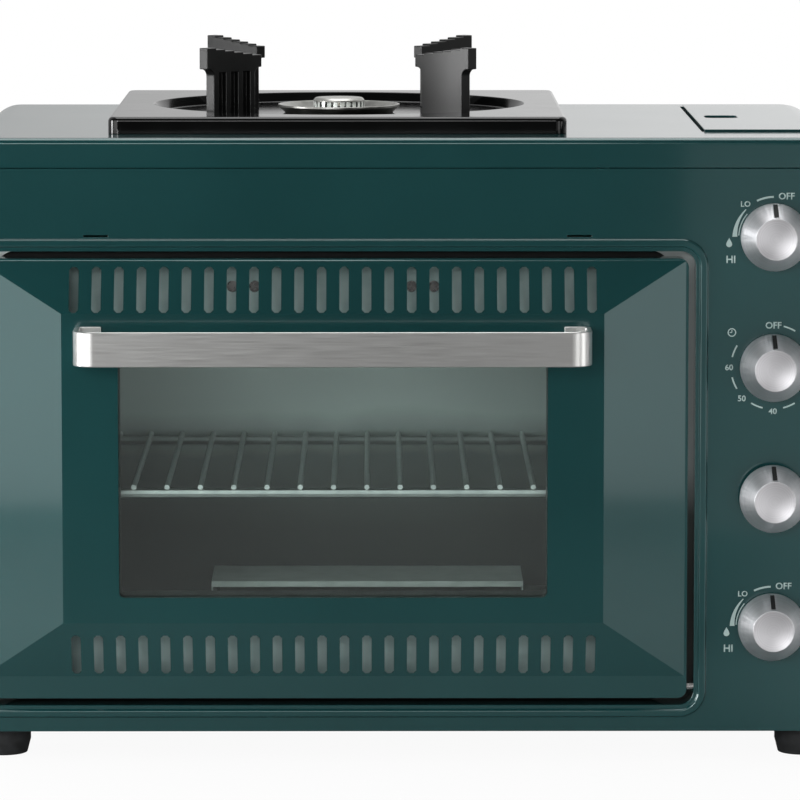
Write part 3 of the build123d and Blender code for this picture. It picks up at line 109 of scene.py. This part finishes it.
def per_mm(size):
    """Texture scale at which one feature is about size millimetres wide."""
    return 1 / (size * MM)


def noise(tree, place, size, detail, distortion=0.0):
    """Adds a noise pattern with features of about size millimetres, from 0 to 1."""
    return add(tree, "ShaderNodeTexNoise", {
        "Vector": place, "Scale": per_mm(size), "Detail": detail, "Distortion": distortion,
    }).outputs["Fac"]


def bump(tree, height, strength, depth):
    """Bends the surface by a pattern that is up to depth millimetres high."""
    return add(tree, "ShaderNodeBump", {
        "Height": height, "Strength": strength, "Distance": depth * MM,
    }).outputs["Normal"]


def ramp(tree, factor, stops):
    """Adds a colour ramp with the given (position, hex colour) stops."""
    made = add(tree, "ShaderNodeValToRGB", {"Fac": factor})
    elements = made.color_ramp.elements
    while len(elements) < len(stops):
        elements.new(0.5)
    for element, (position, code) in zip(elements, stops):
        element.position = position
        element.color = linear(code)
    return made.outputs["Color"]


def spread(tree, value, low, high, start=0.0, stop=1.0):
    """Maps a value that runs from start to stop onto the range from low to high."""
    return add(tree, "ShaderNodeMapRange", {
        "Value": value, "From Min": start, "From Max": stop, "To Min": low, "To Max": high,
    }).outputs["Result"]


def calculate(tree, operation, *values):
    """Adds one step of arithmetic on numbers or outputs."""
    return add(tree, "ShaderNodeMath", dict(enumerate(values)), operation=operation).outputs[0]


def on_vectors(tree, operation, *values):
    """Adds one step of arithmetic on positions."""
    return add(tree, "ShaderNodeVectorMath", dict(enumerate(values)), operation=operation).outputs


def along(tree, place, axis):
    """Gives one coordinate of a position."""
    return add(tree, "ShaderNodeSeparateXYZ", {"Vector": place}).outputs[axis]


def blend(tree, factor, first, second, kind="RGBA"):
    """Mixes two colours, or two numbers where kind is FLOAT."""
    return add(tree, "ShaderNodeMix", {
        "Factor": factor, "A": first, "B": second,
    }, data_type=kind).outputs["Result"]


def mix_shaders(tree, factor, first, second):
    """Mixes two shaders."""
    return add(tree, "ShaderNodeMixShader", {
        "Fac": factor, 1: first.outputs[0], 2: second.outputs[0],
    })


def finish(name, build):
    """Makes a material: build gets its tree and its position output and returns its shader."""
    material = bpy.data.materials.new(name)
    material.use_nodes = True
    tree = material.node_tree
    tree.nodes.clear()
    place = add(tree, "ShaderNodeTexCoord").outputs["Object"]
    add(tree, "ShaderNodeOutputMaterial", {"Surface": build(tree, place).outputs[0]})
    return material


# ---------------------------------------------------------------- finishes
# Stoved enamel on pressed steel: deep green, wet gloss, with a faint orange peel that
# bends the reflections and a slow drift in tone and gloss.
def green_enamel(tree, place):
    cloud = noise(tree, place, 90, 3.0)
    peel = noise(tree, place, 4, 2.0)
    return add(tree, "ShaderNodeBsdfPrincipled", {
        "Base Color": ramp(tree, cloud, [(0.3, "#143D3E"), (0.7, "#164142")]),
        "Roughness": spread(tree, cloud, 0.15, 0.20),
        "IOR": 1.55,
        "Specular Tint": linear("#DDFFFF"),
        "Coat Weight": 0.6,
        "Coat Roughness": 0.07,
        "Coat IOR": 1.55,
        "Normal": bump(tree, peel, 0.05, 0.2),
    })


stoved_green_enamel = finish("stoved_green_enamel", green_enamel)


# Vitreous black enamel on pressed steel: near-black glass, with a slight wave.
def black_enamel(tree, place):
    wave = noise(tree, place, 25, 2.0)
    return add(tree, "ShaderNodeBsdfPrincipled", {
        "Base Color": ramp(tree, wave, [(0.3, "#060707"), (0.7, "#0A0B0B")]),
        "Roughness": spread(tree, wave, 0.08, 0.14),
        "IOR": 1.52,
        "Normal": bump(tree, wave, 0.08, 0.3),
    })


vitreous_black_enamel = finish("vitreous_black_enamel", black_enamel)


# Stainless strap brushed along its length: satin, with fine long lines that stretch
# highlights.
def brushed_steel(tree, place):
    # the grain is drawn out fifty times along the strap
    grain_place = add(tree, "ShaderNodeMapping", {
        "Vector": place, "Scale": (1 / 50, 1.0, 1.0),
    }).outputs["Vector"]
    # real brushing is about 0.1 mm between lines; drawn at 0.5 mm so that it shows
    grain = noise(tree, grain_place, 0.5, 3.0)
    base = linear("#DEDEDC")
    pale = (*(min(1.0, c * 1.12) for c in base[:3]), 1.0)
    return add(tree, "ShaderNodeBsdfPrincipled", {
        "Base Color": blend(tree, grain, base, pale),
        "Metallic": 1.0,
        "Roughness": spread(tree, grain, 0.24, 0.38),
        "Normal": bump(tree, grain, 0.06, 0.05),
    })


brushed_stainless = finish("brushed_stainless", brushed_steel)


# Aluminium turned in a lathe: satin, with fine rings round each knob's own axis.
def lathe_turned(tree, place):
    # the knobs stand evenly above each other, so one wrapped height serves them all
    height = calculate(tree, "SUBTRACT", along(tree, place, "Z"), LEVEL["oven_knob"])
    wrapped = calculate(tree, "WRAP", height, KNOB_PITCH / 2, -KNOB_PITCH / 2)
    side = calculate(tree, "SUBTRACT", along(tree, place, "X"), KNOB_X)
    flat = add(tree, "ShaderNodeCombineXYZ", {"X": side, "Y": 0.0, "Z": wrapped})
    radius = on_vectors(tree, "LENGTH", flat.outputs["Vector"])["Value"]
    # tool marks are about 0.1 mm apart; drawn at 0.6 mm so that they show
    marks = add(tree, "ShaderNodeTexNoise", {
        "W": radius, "Scale": per_mm(0.6), "Detail": 2.0,
    }, noise_dimensions="1D").outputs["Fac"]
    return add(tree, "ShaderNodeBsdfPrincipled", {
        "Base Color": ramp(tree, marks, [(0.3, "#E2E1E4"), (0.7, "#EAE9EC")]),
        "Metallic": 1.0,
        "Roughness": spread(tree, marks, 0.44, 0.52),
        "Normal": bump(tree, marks, 0.03, 0.05),
    })


turned_aluminium = finish("turned_aluminium", lathe_turned)


# Cast iron under a baked black coat: satin, with the fine grain of the sand mould.
def sand_cast(tree, place):
    grain = noise(tree, place, 0.8, 4.0)
    return add(tree, "ShaderNodeBsdfPrincipled", {
        "Base Color": ramp(tree, grain, [(0.3, "#070808"), (0.7, "#0F1010")]),
        "Roughness": spread(tree, grain, 0.26, 0.38),
        "IOR": 1.5,
        "Normal": bump(tree, grain, 0.25, 0.12),
    })


coated_cast_iron = finish("coated_cast_iron", sand_cast)


# Moulded or pressed dark stock, such as rubber: matt, with a little dust in its grain.
def dark_moulded(name, dark, pale):
    def build(tree, place):
        dust = noise(tree, place, 5, 5.0)
        return add(tree, "ShaderNodeBsdfPrincipled", {
            "Base Color": ramp(tree, dust, [(0.35, dark), (0.75, pale)]),
            "Roughness": spread(tree, dust, 0.55, 0.75),
            "IOR": 1.52,
            "Normal": bump(tree, dust, 0.15, 0.1),
        })
    return finish(name, build)


moulded_rubber = dark_moulded("moulded_rubber", "#1A1C1D", "#2C2E30")
black_silicone = dark_moulded("black_silicone", "#060707", "#0E0F0F")
moulded_black_plastic = dark_moulded("moulded_black_plastic", "#121314", "#1C1D1F")
sintered_magnet = dark_moulded("sintered_magnet", "#1B1B1D", "#2E2E31")


# Bare or plated metal stock: dull silver or brass, with soft cloudy patches, where patch is
# their width in millimetres.
def patchy_metal(name, dark, pale, rough, patch, shine=1.0):
    def build(tree, place):
        cells = add(tree, "ShaderNodeTexVoronoi", {
            "Vector": place, "Scale": per_mm(patch),
        }).outputs["Distance"]
        cloud = noise(tree, place, patch * 0.5, 3.0)
        patches = blend(tree, 0.5, cells, cloud, kind="FLOAT")
        return add(tree, "ShaderNodeBsdfPrincipled", {
            "Base Color": ramp(tree, patches, [(0.25, dark), (0.65, pale)]),
            "Metallic": shine,
            "Roughness": spread(tree, patches, rough - 0.06, rough + 0.08),
        })
    return finish(name, build)


zinc_plated_sheet = patchy_metal("zinc_plated_sheet", "#A2A6A8", "#BDC1C2", 0.38, 9)
aluminised_steel = patchy_metal("aluminised_steel", "#9A9D9C", "#B8BBB9", 0.42, 14)
bright_screw_steel = patchy_metal("bright_screw_steel", "#B5B5B4", "#CACAC8", 0.26, 4)
bright_baffle_steel = patchy_metal("bright_baffle_steel", "#DCE0DE", "#ECEFEE", 0.40, 12, 0.25)
satin_stainless = patchy_metal("satin_stainless", "#A5A6A2", "#BDBDB9", 0.30, 6)
chromed_wire = patchy_metal("chromed_wire", "#C9CDCE", "#DDE0E0", 0.34, 8)
drawn_aluminium = patchy_metal("drawn_aluminium", "#BFC0C1", "#D2D3D4", 0.30, 8)
cast_aluminium = patchy_metal("cast_aluminium", "#B4B9B6", "#CDD1CE", 0.30, 2)
machined_brass = patchy_metal("machined_brass", "#B0914E", "#C9AA66", 0.28, 5)


# Zinc sheet with a pale blue-green passivation, which shows through the air slots; the walls of
# the window's opening are painted dark grey, as painted shade of that deep opening.
def passivated_zinc(tree, place):
    cells = add(tree, "ShaderNodeTexVoronoi", {
        "Vector": place, "Scale": per_mm(9),
    }).outputs["Distance"]
    bright = ramp(tree, cells, [(0.2, "#BEDAD7"), (0.6, "#CBE4E1")])
    from_glass = on_vectors(tree, "SUBTRACT", place, middle("door_glass"))["Vector"]
    away = on_vectors(tree, "ABSOLUTE", from_glass)["Vector"]
    border = 3 * MM              # the painted shade's edge is this soft
    wide, _, tall = WINDOW_WALL
    past_side = spread(tree, along(tree, away, "X"), 0.0, 1.0, wide, wide + border)
    past_top = spread(tree, along(tree, away, "Z"), 0.0, 1.0, tall, tall + border)
    outside = calculate(tree, "MAXIMUM", past_side, past_top)
    return add(tree, "ShaderNodeBsdfPrincipled", {
        # painted shade: the walls of the window's opening are painted dark grey, the rest is pale
        "Base Color": blend(tree, outside, linear("#3A3F3E"), bright),
        "Metallic": 0.2,
        "Roughness": spread(tree, cells, 0.52, 0.66),
    })


passivated_zinc_sheet = finish("passivated_zinc_sheet", passivated_zinc)


# Aluminised liner: satin, with painted light and shade: pale under the roof, dark grey towards
# the burner.
def painted_light_ramp(tree, place):
    cloud = noise(tree, place, 60, 2.0)
    # the cloud shifts the border between painted light and painted shade by up to 20 mm
    height = calculate(tree, "MULTIPLY_ADD", cloud, 20 * MM, along(tree, place, "Z"))
    # painted light and shade: the liner is painted pale high on its walls and dark grey low down
    rise = spread(tree, height, 0.0, 1.0, 100 * MM, 190 * MM)
    return add(tree, "ShaderNodeBsdfPrincipled", {
        "Base Color": ramp(tree, rise, [(0.0, "#575958"), (0.45, "#6E7473"), (0.75, "#D2DAD9")]),
        "Metallic": 1.0,
        "Roughness": spread(tree, cloud, 0.42, 0.50),
    })


liner_with_painted_light = finish("aluminised_liner_with_painted_light", painted_light_ramp)


# Loose mineral wool: pale, fully matt, with a crumpled fibre mat.
def crumpled_wool(tree, place):
    fibre = noise(tree, place, 3, 6.0, distortion=1.5)
    return add(tree, "ShaderNodeBsdfPrincipled", {
        "Base Color": ramp(tree, fibre, [(0.3, "#A9A27F"), (0.7, "#CFC9A8")]),
        "Roughness": 1.0,
        "Normal": bump(tree, fibre, 0.6, 1.0),
    })


mineral_wool = finish("mineral_wool", crumpled_wool)


# Glazed ceramic of the igniter rods: off-white and glossy.
def ceramic_glaze(tree, place):
    speck = noise(tree, place, 1, 2.0)
    return add(tree, "ShaderNodeBsdfPrincipled", {
        "Base Color": ramp(tree, speck, [(0.3, "#D9D5C9"), (0.7, "#EBE8DE")]),
        "Roughness": spread(tree, speck, 0.12, 0.22),
        "IOR": 1.5,
    })


glazed_ceramic = finish("glazed_ceramic", ceramic_glaze)


# Toughened pane: clear, faintly grey-green, with a film of dust that dulls it a little.
def dusty_pane(tree, place):
    tint = linear("#D4DDDA")
    film = noise(tree, place, 30, 4.0)
    glass = add(tree, "ShaderNodeBsdfPrincipled", {
        "Base Color": tint,
        "Roughness": spread(tree, film, 0.0, 0.03),
        "IOR": 1.52,
        "Transmission Weight": 1.0,
    })
    # light falls straight through the pane, so that the cavity isn't left in its shadow
    clear = add(tree, "ShaderNodeBsdfTransparent", {"Color": tint})
    shadow_ray = add(tree, "ShaderNodeLightPath").outputs["Is Shadow Ray"]
    return mix_shaders(tree, shadow_ray, glass, clear)


toughened_glass = finish("toughened_glass", dusty_pane)


# Pad-printed marking ink: pale grey-green, satin.
def pad_print(tree, place):
    grain = noise(tree, place, 0.5, 2.0)
    return add(tree, "ShaderNodeBsdfPrincipled", {
        "Base Color": ramp(tree, grain, [(0.3, "#A6BDBA"), (0.7, "#B4C8C5")]),
        "Roughness": spread(tree, grain, 0.40, 0.50),
    })


printed_marking_ink = finish("printed_marking_ink", pad_print)

SLOT_FINISH = {
    "green_enamel": stoved_green_enamel,
    "zinc_sheet": zinc_plated_sheet,
    "aluminised_sheet": aluminised_steel,
    "black_rubber": moulded_rubber,
    "screw_steel": bright_screw_steel,
    "mineral_wool": mineral_wool,
    "chromed_wire": chromed_wire,
    "burner_steel": satin_stainless,
    "brushed_handle": brushed_stainless,
    "igniter_ceramic": glazed_ceramic,
    "magnet_black": sintered_magnet,
    "black_enamel": vitreous_black_enamel,
    "cast_aluminium": cast_aluminium,
    "black_cast_iron": coated_cast_iron,
    "brass_valve": machined_brass,
    "black_plastic": moulded_black_plastic,
    "pipe_aluminium": drawn_aluminium,
    "window_glass": toughened_glass,
    "spun_aluminium": turned_aluminium,
}
# solids that look different from the rest of their slot
NODE_FINISH = {
    "door_inner_panel": passivated_zinc_sheet,
    "door_seal": black_silicone,
    "oven_liner": liner_with_painted_light,
    "burner_baffle": bright_baffle_steel,
}
NODE_SLOT = {part["node"]: part["material_slot"] for part in frame["record"]["subparts"]}
for node_name, solid in nodes.items():
    solid.data.materials.clear()
    solid.data.materials.append(
        NODE_FINISH.get(node_name, SLOT_FINISH[NODE_SLOT[node_name]])
    )


# ---------------------------------------------------------------- pieces
def body_of(node_name):
    """Names the moving body that a solid belongs to."""
    return nodes[node_name]["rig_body"]


def new_piece(name, work, material):
    """Makes an object at the origin from a finished bmesh."""
    mesh = bpy.data.meshes.new(name)
    work.to_mesh(mesh)
    work.free()
    mesh.materials.append(material)
    piece = bpy.data.objects.new(name, mesh)
    bpy.context.scene.collection.objects.link(piece)
    return piece


def smooth_sides(piece, angle):
    """Shades curved faces smooth and keeps edges over the angle crisp."""
    mesh = piece.data
    for face in mesh.polygons:
        face.use_smooth = True
    mesh.set_sharp_from_angle(angle=radians(angle))


def soften_edges(piece, width):
    """Rounds the sharp edges a little, as pressed and cast edges are."""
    bevel = piece.modifiers.new("edge_round", "BEVEL")
    bevel.width = width * MM
    bevel.segments = 2
    bevel.limit_method = "ANGLE"
    bevel.angle_limit = radians(35)  # folds slighter than this stay as they are
    bevel.use_clamp_overlap = False


def flatten_shading(piece):
    """Lets the large flat faces set the shading, so that they don't bend at small holes."""
    shading = piece.modifiers.new("flat_faces", "WEIGHTED_NORMAL")
    shading.weight = 100
    shading.keep_sharp = True


SAME_POINT = 0.002 * MM      # corners nearer than this are one corner
SAME_FACE = radians(0.3)     # faces that meet flatter than this are one face


def dressed(node_name, edge, seam=30):
    """Shows a merged copy of a solid, its edges rounded by edge millimetres, in its place."""
    work = bmesh.new()
    work.from_mesh(nodes[node_name].data)
    bmesh.ops.remove_doubles(work, verts=work.verts, dist=SAME_POINT)
    bmesh.ops.dissolve_limit(work, angle_limit=SAME_FACE, verts=work.verts, edges=work.edges)
    piece = new_piece(node_name + "_shell", work, nodes[node_name].data.materials[0])
    smooth_sides(piece, seam)
    if edge:
        soften_edges(piece, edge)
    flatten_shading(piece)
    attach(piece, body_of(node_name))
    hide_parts(node_name)


# rounding in millimetres; none on the cover, whose bends are in its solid
EDGE_ROUND = {
    "wrap_cover": 0,
    "front_fascia": 0.3,
    "gas_lid": 0.35,
    "hob_plate": 0.3,
    "door_handle": 0.5,
    "hob_knob": 0.25,
    "timer_knob": 0.25,
    "oven_knob": 0.25,
    "ignition_button": 0.25,
    "pan_support_1": 0.4,
    "pan_support_2": 0.4,
    "pan_support_3": 0.4,
    "pan_support_4": 0.4,
    "burner_bowl": 0.2,
    "burner_crown": 0.15,
    "burner_cap": 0.2,
    "feet": 0.5,
    "rear_panel": 0.2,
    "rear_screws": 0.3,
    "oven_liner": 0.3,
    "burner_baffle": 0.3,
    "oven_burner": 0.3,
    "base_pan": 0.3,
}
for shown, rounding in EDGE_ROUND.items():
    dressed(shown, rounding)
# the door's pressed folds are slight, and stay crisp
dressed("door_skin", 0, seam=10)


# ---------------------------------------------------------------- panel markings
def print_on_panel(work, name):
    """Gives flat shapes drawn in X and Z their film thickness and fixes them on the fascia."""
    bmesh.ops.remove_doubles(work, verts=work.verts, dist=0.01 * MM)
    bmesh.ops.recalc_face_normals(work, faces=work.faces)
    bmesh.ops.solidify(work, geom=work.faces[:], thickness=INK)
    bmesh.ops.recalc_face_normals(work, faces=work.faces)
    piece = new_piece(name, work, printed_marking_ink)
    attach(piece, body_of("front_fascia"))


def beside(level, right, up):
    """Point on the panel that lies right of and above a knob's axis, in millimetres."""
    return Vector((KNOB_X + right * MM, PANEL_Y - INK, level + up * MM))


def around(level, radius, hour_angle):
    """Point on the panel at a clockwise angle from twelve o'clock round a knob."""
    turn = radians(hour_angle)
    return Vector((KNOB_X + radius * sin(turn), PANEL_Y - INK, level + radius * cos(turn)))


CAPITAL_SHARE = 0.73         # height of a capital letter in the font, per unit of its size
STROKE_GAIN = 0.03           # thickening of the strokes, per unit of a capital's height


def draw_word(work, text, centre, height):
    """Adds one word, its capitals as tall as height, centred on a point."""
    curve = bpy.data.curves.new("word", "FONT")
    curve.body = text
    curve.size = height / CAPITAL_SHARE
    curve.offset = height * STROKE_GAIN
    curve.align_x = "CENTER"
    curve.resolution_u = 3
    holder = bpy.data.objects.new("word", curve)
    letters = bpy.data.meshes.new_from_object(holder)
    drawn = bmesh.new()
    drawn.from_mesh(letters)
    bmesh.ops.rotate(drawn, verts=drawn.verts, cent=(0, 0, 0), matrix=UPRIGHT)
    bmesh.ops.translate(drawn, verts=drawn.verts, vec=centre - Vector((0, 0, height / 2)))
    drawn.to_mesh(letters)
    drawn.free()
    work.from_mesh(letters)
    bpy.data.objects.remove(holder)
    bpy.data.meshes.remove(letters)


def draw_arc(work, level, radius, start, stop, width, end_width=None):
    """Adds a band round a knob between two clockwise angles; an end width tapers it."""
    drawn_before = set(work.verts)
    centre = Vector((KNOB_X, PANEL_Y - INK, level))
    inner = work.verts.new(around(level, radius - width / 2, start))
    outer = work.verts.new(around(level, radius + width / 2, start))
    edge = work.edges.new((inner, outer))
    degrees_per_step = 4
    bmesh.ops.spin(
        work, geom=[inner, outer, edge], cent=centre, axis=(0, 1, 0),
        angle=radians(stop - start), steps=max(2, int((stop - start) / degrees_per_step)),
    )
    if end_width is None:
        return
    for vert in set(work.verts) - drawn_before:
        out = vert.co - centre
        share = (degrees(atan2(out.x, out.z)) % 360 - start) / (stop - start)
        wide = width + (end_width - width) * share
        side = 1 if out.length > radius else -1
        vert.co = centre + out.normalized() * (radius + side * wide / 2)


def draw_flame(work, centre, height):
    """Adds a small flame: a disc whose upper half is drawn up to a point."""
    belly = height * 0.32
    disc = bmesh.ops.create_circle(work, cap_ends=True, segments=16, radius=belly)["verts"]
    bmesh.ops.rotate(work, verts=disc, cent=(0, 0, 0), matrix=UPRIGHT)
    for vert in disc:
        if vert.co.z > 0:
            vert.co.x *= 1 - (vert.co.z / belly) ** 1.5 * 0.9
            vert.co.z *= 2.1
    bmesh.ops.translate(work, verts=disc, vec=centre)


def draw_clock(work, centre, radius):
    """Adds a small plain clock: a ring with two hands."""
    ring_width = 0.55 * MM
    hand_width = 0.45 * MM
    start = [work.verts.new((reach, 0, 0)) for reach in (radius, radius - ring_width)]
    edge = work.edges.new(start)
    bmesh.ops.spin(
        work, geom=[*start, edge], cent=(0, 0, 0), axis=(0, 1, 0),
        angle=2 * pi, steps=24, use_merge=True,
    )
    # the ring is the only thing drawn so near to the origin
    drawn = [vert for vert in work.verts if vert.co.length < 1.01 * radius]
    for turn, share in ((0, 0.62), (90, 0.5)):
        length = share * radius
        hand = bmesh.ops.create_grid(work, x_segments=1, y_segments=1, size=0.5)["verts"]
        bmesh.ops.scale(work, verts=hand, vec=(hand_width, length, 1))
        bmesh.ops.translate(work, verts=hand, vec=(0, length / 2, 0))
        across = Matrix.Rotation(radians(turn), 3, "Z")
        bmesh.ops.rotate(work, verts=hand, cent=(0, 0, 0), matrix=UPRIGHT @ across)
        drawn += hand
    bmesh.ops.translate(work, verts=drawn, vec=centre)


for knob in ("hob_knob", "oven_knob"):
    level = LEVEL[knob]
    marks = bmesh.new()
    draw_word(marks, "OFF", beside(level, 6.5, 21.8), 3.6 * MM)
    draw_word(marks, "LO", beside(level, -15.4, 17.6), 3.0 * MM)
    draw_word(marks, "HI", beside(level, -23.0, -12.0), 4.0 * MM)
    draw_flame(marks, beside(level, -24.0, -4.0), 5.0 * MM)
    draw_arc(marks, level, 21.3 * MM, 334, 359, 1.0 * MM)
    draw_arc(marks, level, 21.0 * MM, 270, 314, 2.6 * MM, 0.5 * MM)
    draw_arc(marks, level, 18.9 * MM, 272, 310, 0.5 * MM)
    print_on_panel(marks, knob + "_marks")

level = LEVEL["timer_knob"]
ring = 22.6 * MM             # radius of the timer's scale
hour = 45                    # degrees from one number of the scale to the next
marks = bmesh.new()
draw_word(marks, "OFF", around(level, ring, 0), 3.6 * MM)
for turn in range(1, 8):
    if turn < 7:
        draw_word(marks, str(10 * turn), around(level, ring + 1 * MM, hour * turn), 3.2 * MM)
    draw_arc(marks, level, ring, hour * turn - 31, hour * turn - 14, 0.8 * MM)
draw_clock(marks, around(level, 29.0 * MM, 310), 2.3 * MM)
print_on_panel(marks, "timer_marks")

# dark paint on the sloping floor of each knob's pointer groove; the groove's ends are given as
# their depth behind the knob's front and their height above its axis
GROOVE_SIDE = 1.15 * MM      # half the groove's width
GROOVE_LOW_END = (2.2 * MM, 11.8 * MM)
GROOVE_HIGH_END = (13.6 * MM, 17.6 * MM)
for knob in KNOBS:
    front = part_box(knob)[0][1]
    groove = bmesh.new()
    corners = [
        groove.verts.new((KNOB_X + side, front + depth, LEVEL[knob] + height))
        for side, (depth, height) in (
            (-GROOVE_SIDE, GROOVE_LOW_END), (GROOVE_SIDE, GROOVE_LOW_END),
            (GROOVE_SIDE, GROOVE_HIGH_END), (-GROOVE_SIDE, GROOVE_HIGH_END),
        )
    ]
    groove.faces.new(corners)
    bmesh.ops.recalc_face_normals(groove, faces=groove.faces)
    bmesh.ops.solidify(groove, geom=groove.faces[:], thickness=PAINT)
    bmesh.ops.recalc_face_normals(groove, faces=groove.faces)
    pointer = new_piece(knob + "_pointer_paint", groove, moulded_black_plastic)
    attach(pointer, body_of(knob))


# ---------------------------------------------------------------- setting
FLOOR_RADIUS = 1.6
FADE_START, FADE_STOP = 0.7, 1.4   # the floor fades out between these radii
GLOW = 0.94                        # share of the floor that glows white, the rest keeps shadow
GLOW_IN_GLOSS = 0.06               # share of that glow that gloss sees, so the enamel stays deep
CARD_X = -0.025                    # middle of the painted dark reflection, a card in front of the door
CARD_HALF, CARD_RIM = 0.20, 0.36   # from its middle: where it starts and where it has ended
CARD_FAR, CARD_NEAR = -0.60, -0.40  # it grows paler between these, towards the oven


# Pale paper floor: it keeps the oven's shadow, fades out at its rim and stays dim in gloss.
def paper_floor(tree, place):
    rays = add(tree, "ShaderNodeLightPath").outputs
    in_gloss = rays["Is Glossy Ray"]
    distance = on_vectors(tree, "LENGTH", place)["Value"]
    fade = spread(tree, distance, 0.0, 1.0, FADE_START, FADE_STOP)
    mirrored = calculate(tree, "MULTIPLY", in_gloss, GLOW_IN_GLOSS)
    seen = calculate(tree, "MAXIMUM", rays["Is Camera Ray"], mirrored)
    seen = calculate(tree, "MAXIMUM", seen, rays["Is Transmission Ray"])
    # painted reflection: the dark card is seen only in gloss
    from_card = calculate(tree, "SUBTRACT", along(tree, place, "X"), CARD_X)
    aside = calculate(tree, "ABSOLUTE", from_card)
    past_card = spread(tree, aside, 0.0, 1.0, CARD_HALF, CARD_RIM)
    nearness = spread(tree, along(tree, place, "Y"), 0.0, 1.0, CARD_FAR, CARD_NEAR)
    dark_card = blend(tree, nearness, linear("#484848"), linear("#8C8C8C"))
    card = blend(tree, past_card, dark_card, linear("#D8D8D8"))
    paper = blend(tree, in_gloss, linear("#F2F2F2"), card)
    matt = add(tree, "ShaderNodeBsdfDiffuse", {"Color": paper})
    glow = add(tree, "ShaderNodeEmission", {"Color": linear("#FFFFFF"), "Strength": 1.0})
    lit = mix_shaders(tree, GLOW, matt, glow)
    plain = mix_shaders(tree, seen, matt, lit)
    gone = add(tree, "ShaderNodeBsdfTransparent")
    return mix_shaders(tree, fade, plain, gone)


disc = bmesh.new()
bmesh.ops.create_circle(disc, cap_ends=True, segments=96, radius=FLOOR_RADIUS)
floor = new_piece("studio_floor", disc, finish("pale_studio_floor", paper_floor))

# world: white sweep behind the oven, dimmer room in front of it
world = bpy.data.worlds.new("studio")
bpy.context.scene.world = world
world.use_nodes = True
tree = world.node_tree
tree.nodes.clear()
heading = add(tree, "ShaderNodeTexCoord").outputs["Generated"]
sweep = spread(tree, along(tree, heading, "Y"), 0.05, 0.78, -0.2, 0.5)
# the sweep is a little brighter on its right
tilt = spread(tree, along(tree, heading, "X"), 0.66, 1.12, -0.08, 0.08)
room = calculate(tree, "MULTIPLY", sweep, tilt)
rays = add(tree, "ShaderNodeLightPath").outputs
seen = calculate(tree, "MAXIMUM", rays["Is Camera Ray"], rays["Is Transmission Ray"])
studio = add(tree, "ShaderNodeBackground", {"Color": linear("#FFFFFF"), "Strength": room})
white = add(tree, "ShaderNodeBackground", {"Color": linear("#FFFFFF"), "Strength": 1.0})
both = mix_shaders(tree, seen, studio, white)
add(tree, "ShaderNodeOutputWorld", {"Surface": both.outputs[0]})


def turn_to(item, place, aim):
    """Puts a lamp or the camera in its place and turns it to its aim."""
    item.location = place
    item.rotation_euler = (Vector(aim) - item.location).to_track_quat("-Z", "Y").to_euler()
    bpy.context.scene.collection.objects.link(item)


def softbox(name, place, aim, width, height, power):
    """Adds one rectangular studio light turned to its aim."""
    data = bpy.data.lights.new(name, "AREA")
    data.shape = "RECTANGLE"
    data.size = width
    data.size_y = height
    data.energy = power
    lamp = bpy.data.objects.new(name, data)
    lamp.visible_camera = False
    turn_to(lamp, place, aim)


# each lamp's place and aim, its width and height in metres, and its power in watts
softbox("left_softbox", (-0.68, -0.78, 0.36), (-0.2, -0.13, 0.17), 0.60, 0.70, 2.4)
softbox("right_softbox", (0.60, -0.80, 0.24), (0.14, -0.13, 0.17), 0.30, 0.42, 0.49)
softbox("top_softbox", (0, 0.2, 1.9), (0, 0, 0.2), 1.4, 1.4, 17)
softbox("high_front_softbox", (-0.2, -3.2, 1.15), (-0.03, -0.13, 0.2), 0.9, 0.7, 7)
softbox("panel_softbox", (0.42, -1.0, 0.16), (0.42, -0.12, 0.16), 0.44, 0.32, 0.17)
softbox("front_left_softbox", (-0.80, -2.25, 0.75), (0.1, -0.12, 0.18), 0.5, 0.5, 9)
softbox("right_low_softbox", (0.80, -0.40, 0.16), (0.1, -0.16, 0.2), 0.3, 0.3, 0.5)
softbox("left_rim_softbox", (-1.5, -0.35, 0.42), (0, -0.1, 0.25), 0.5, 0.6, 14)

# ---------------------------------------------------------------- camera
CAMERA_PLACE = (-0.0144, -3.0331, 0.5340)
CAMERA_AIM = (-0.0016, -0.123, 0.1952)
camera_data = bpy.data.cameras.new("front_camera")
camera_data.lens = 246.4
camera_data.sensor_width = 36
camera = bpy.data.objects.new("front_camera", camera_data)
turn_to(camera, CAMERA_PLACE, CAMERA_AIM)
bpy.context.scene.camera = camera
bpy.context.scene.view_settings.view_transform = "Standard"
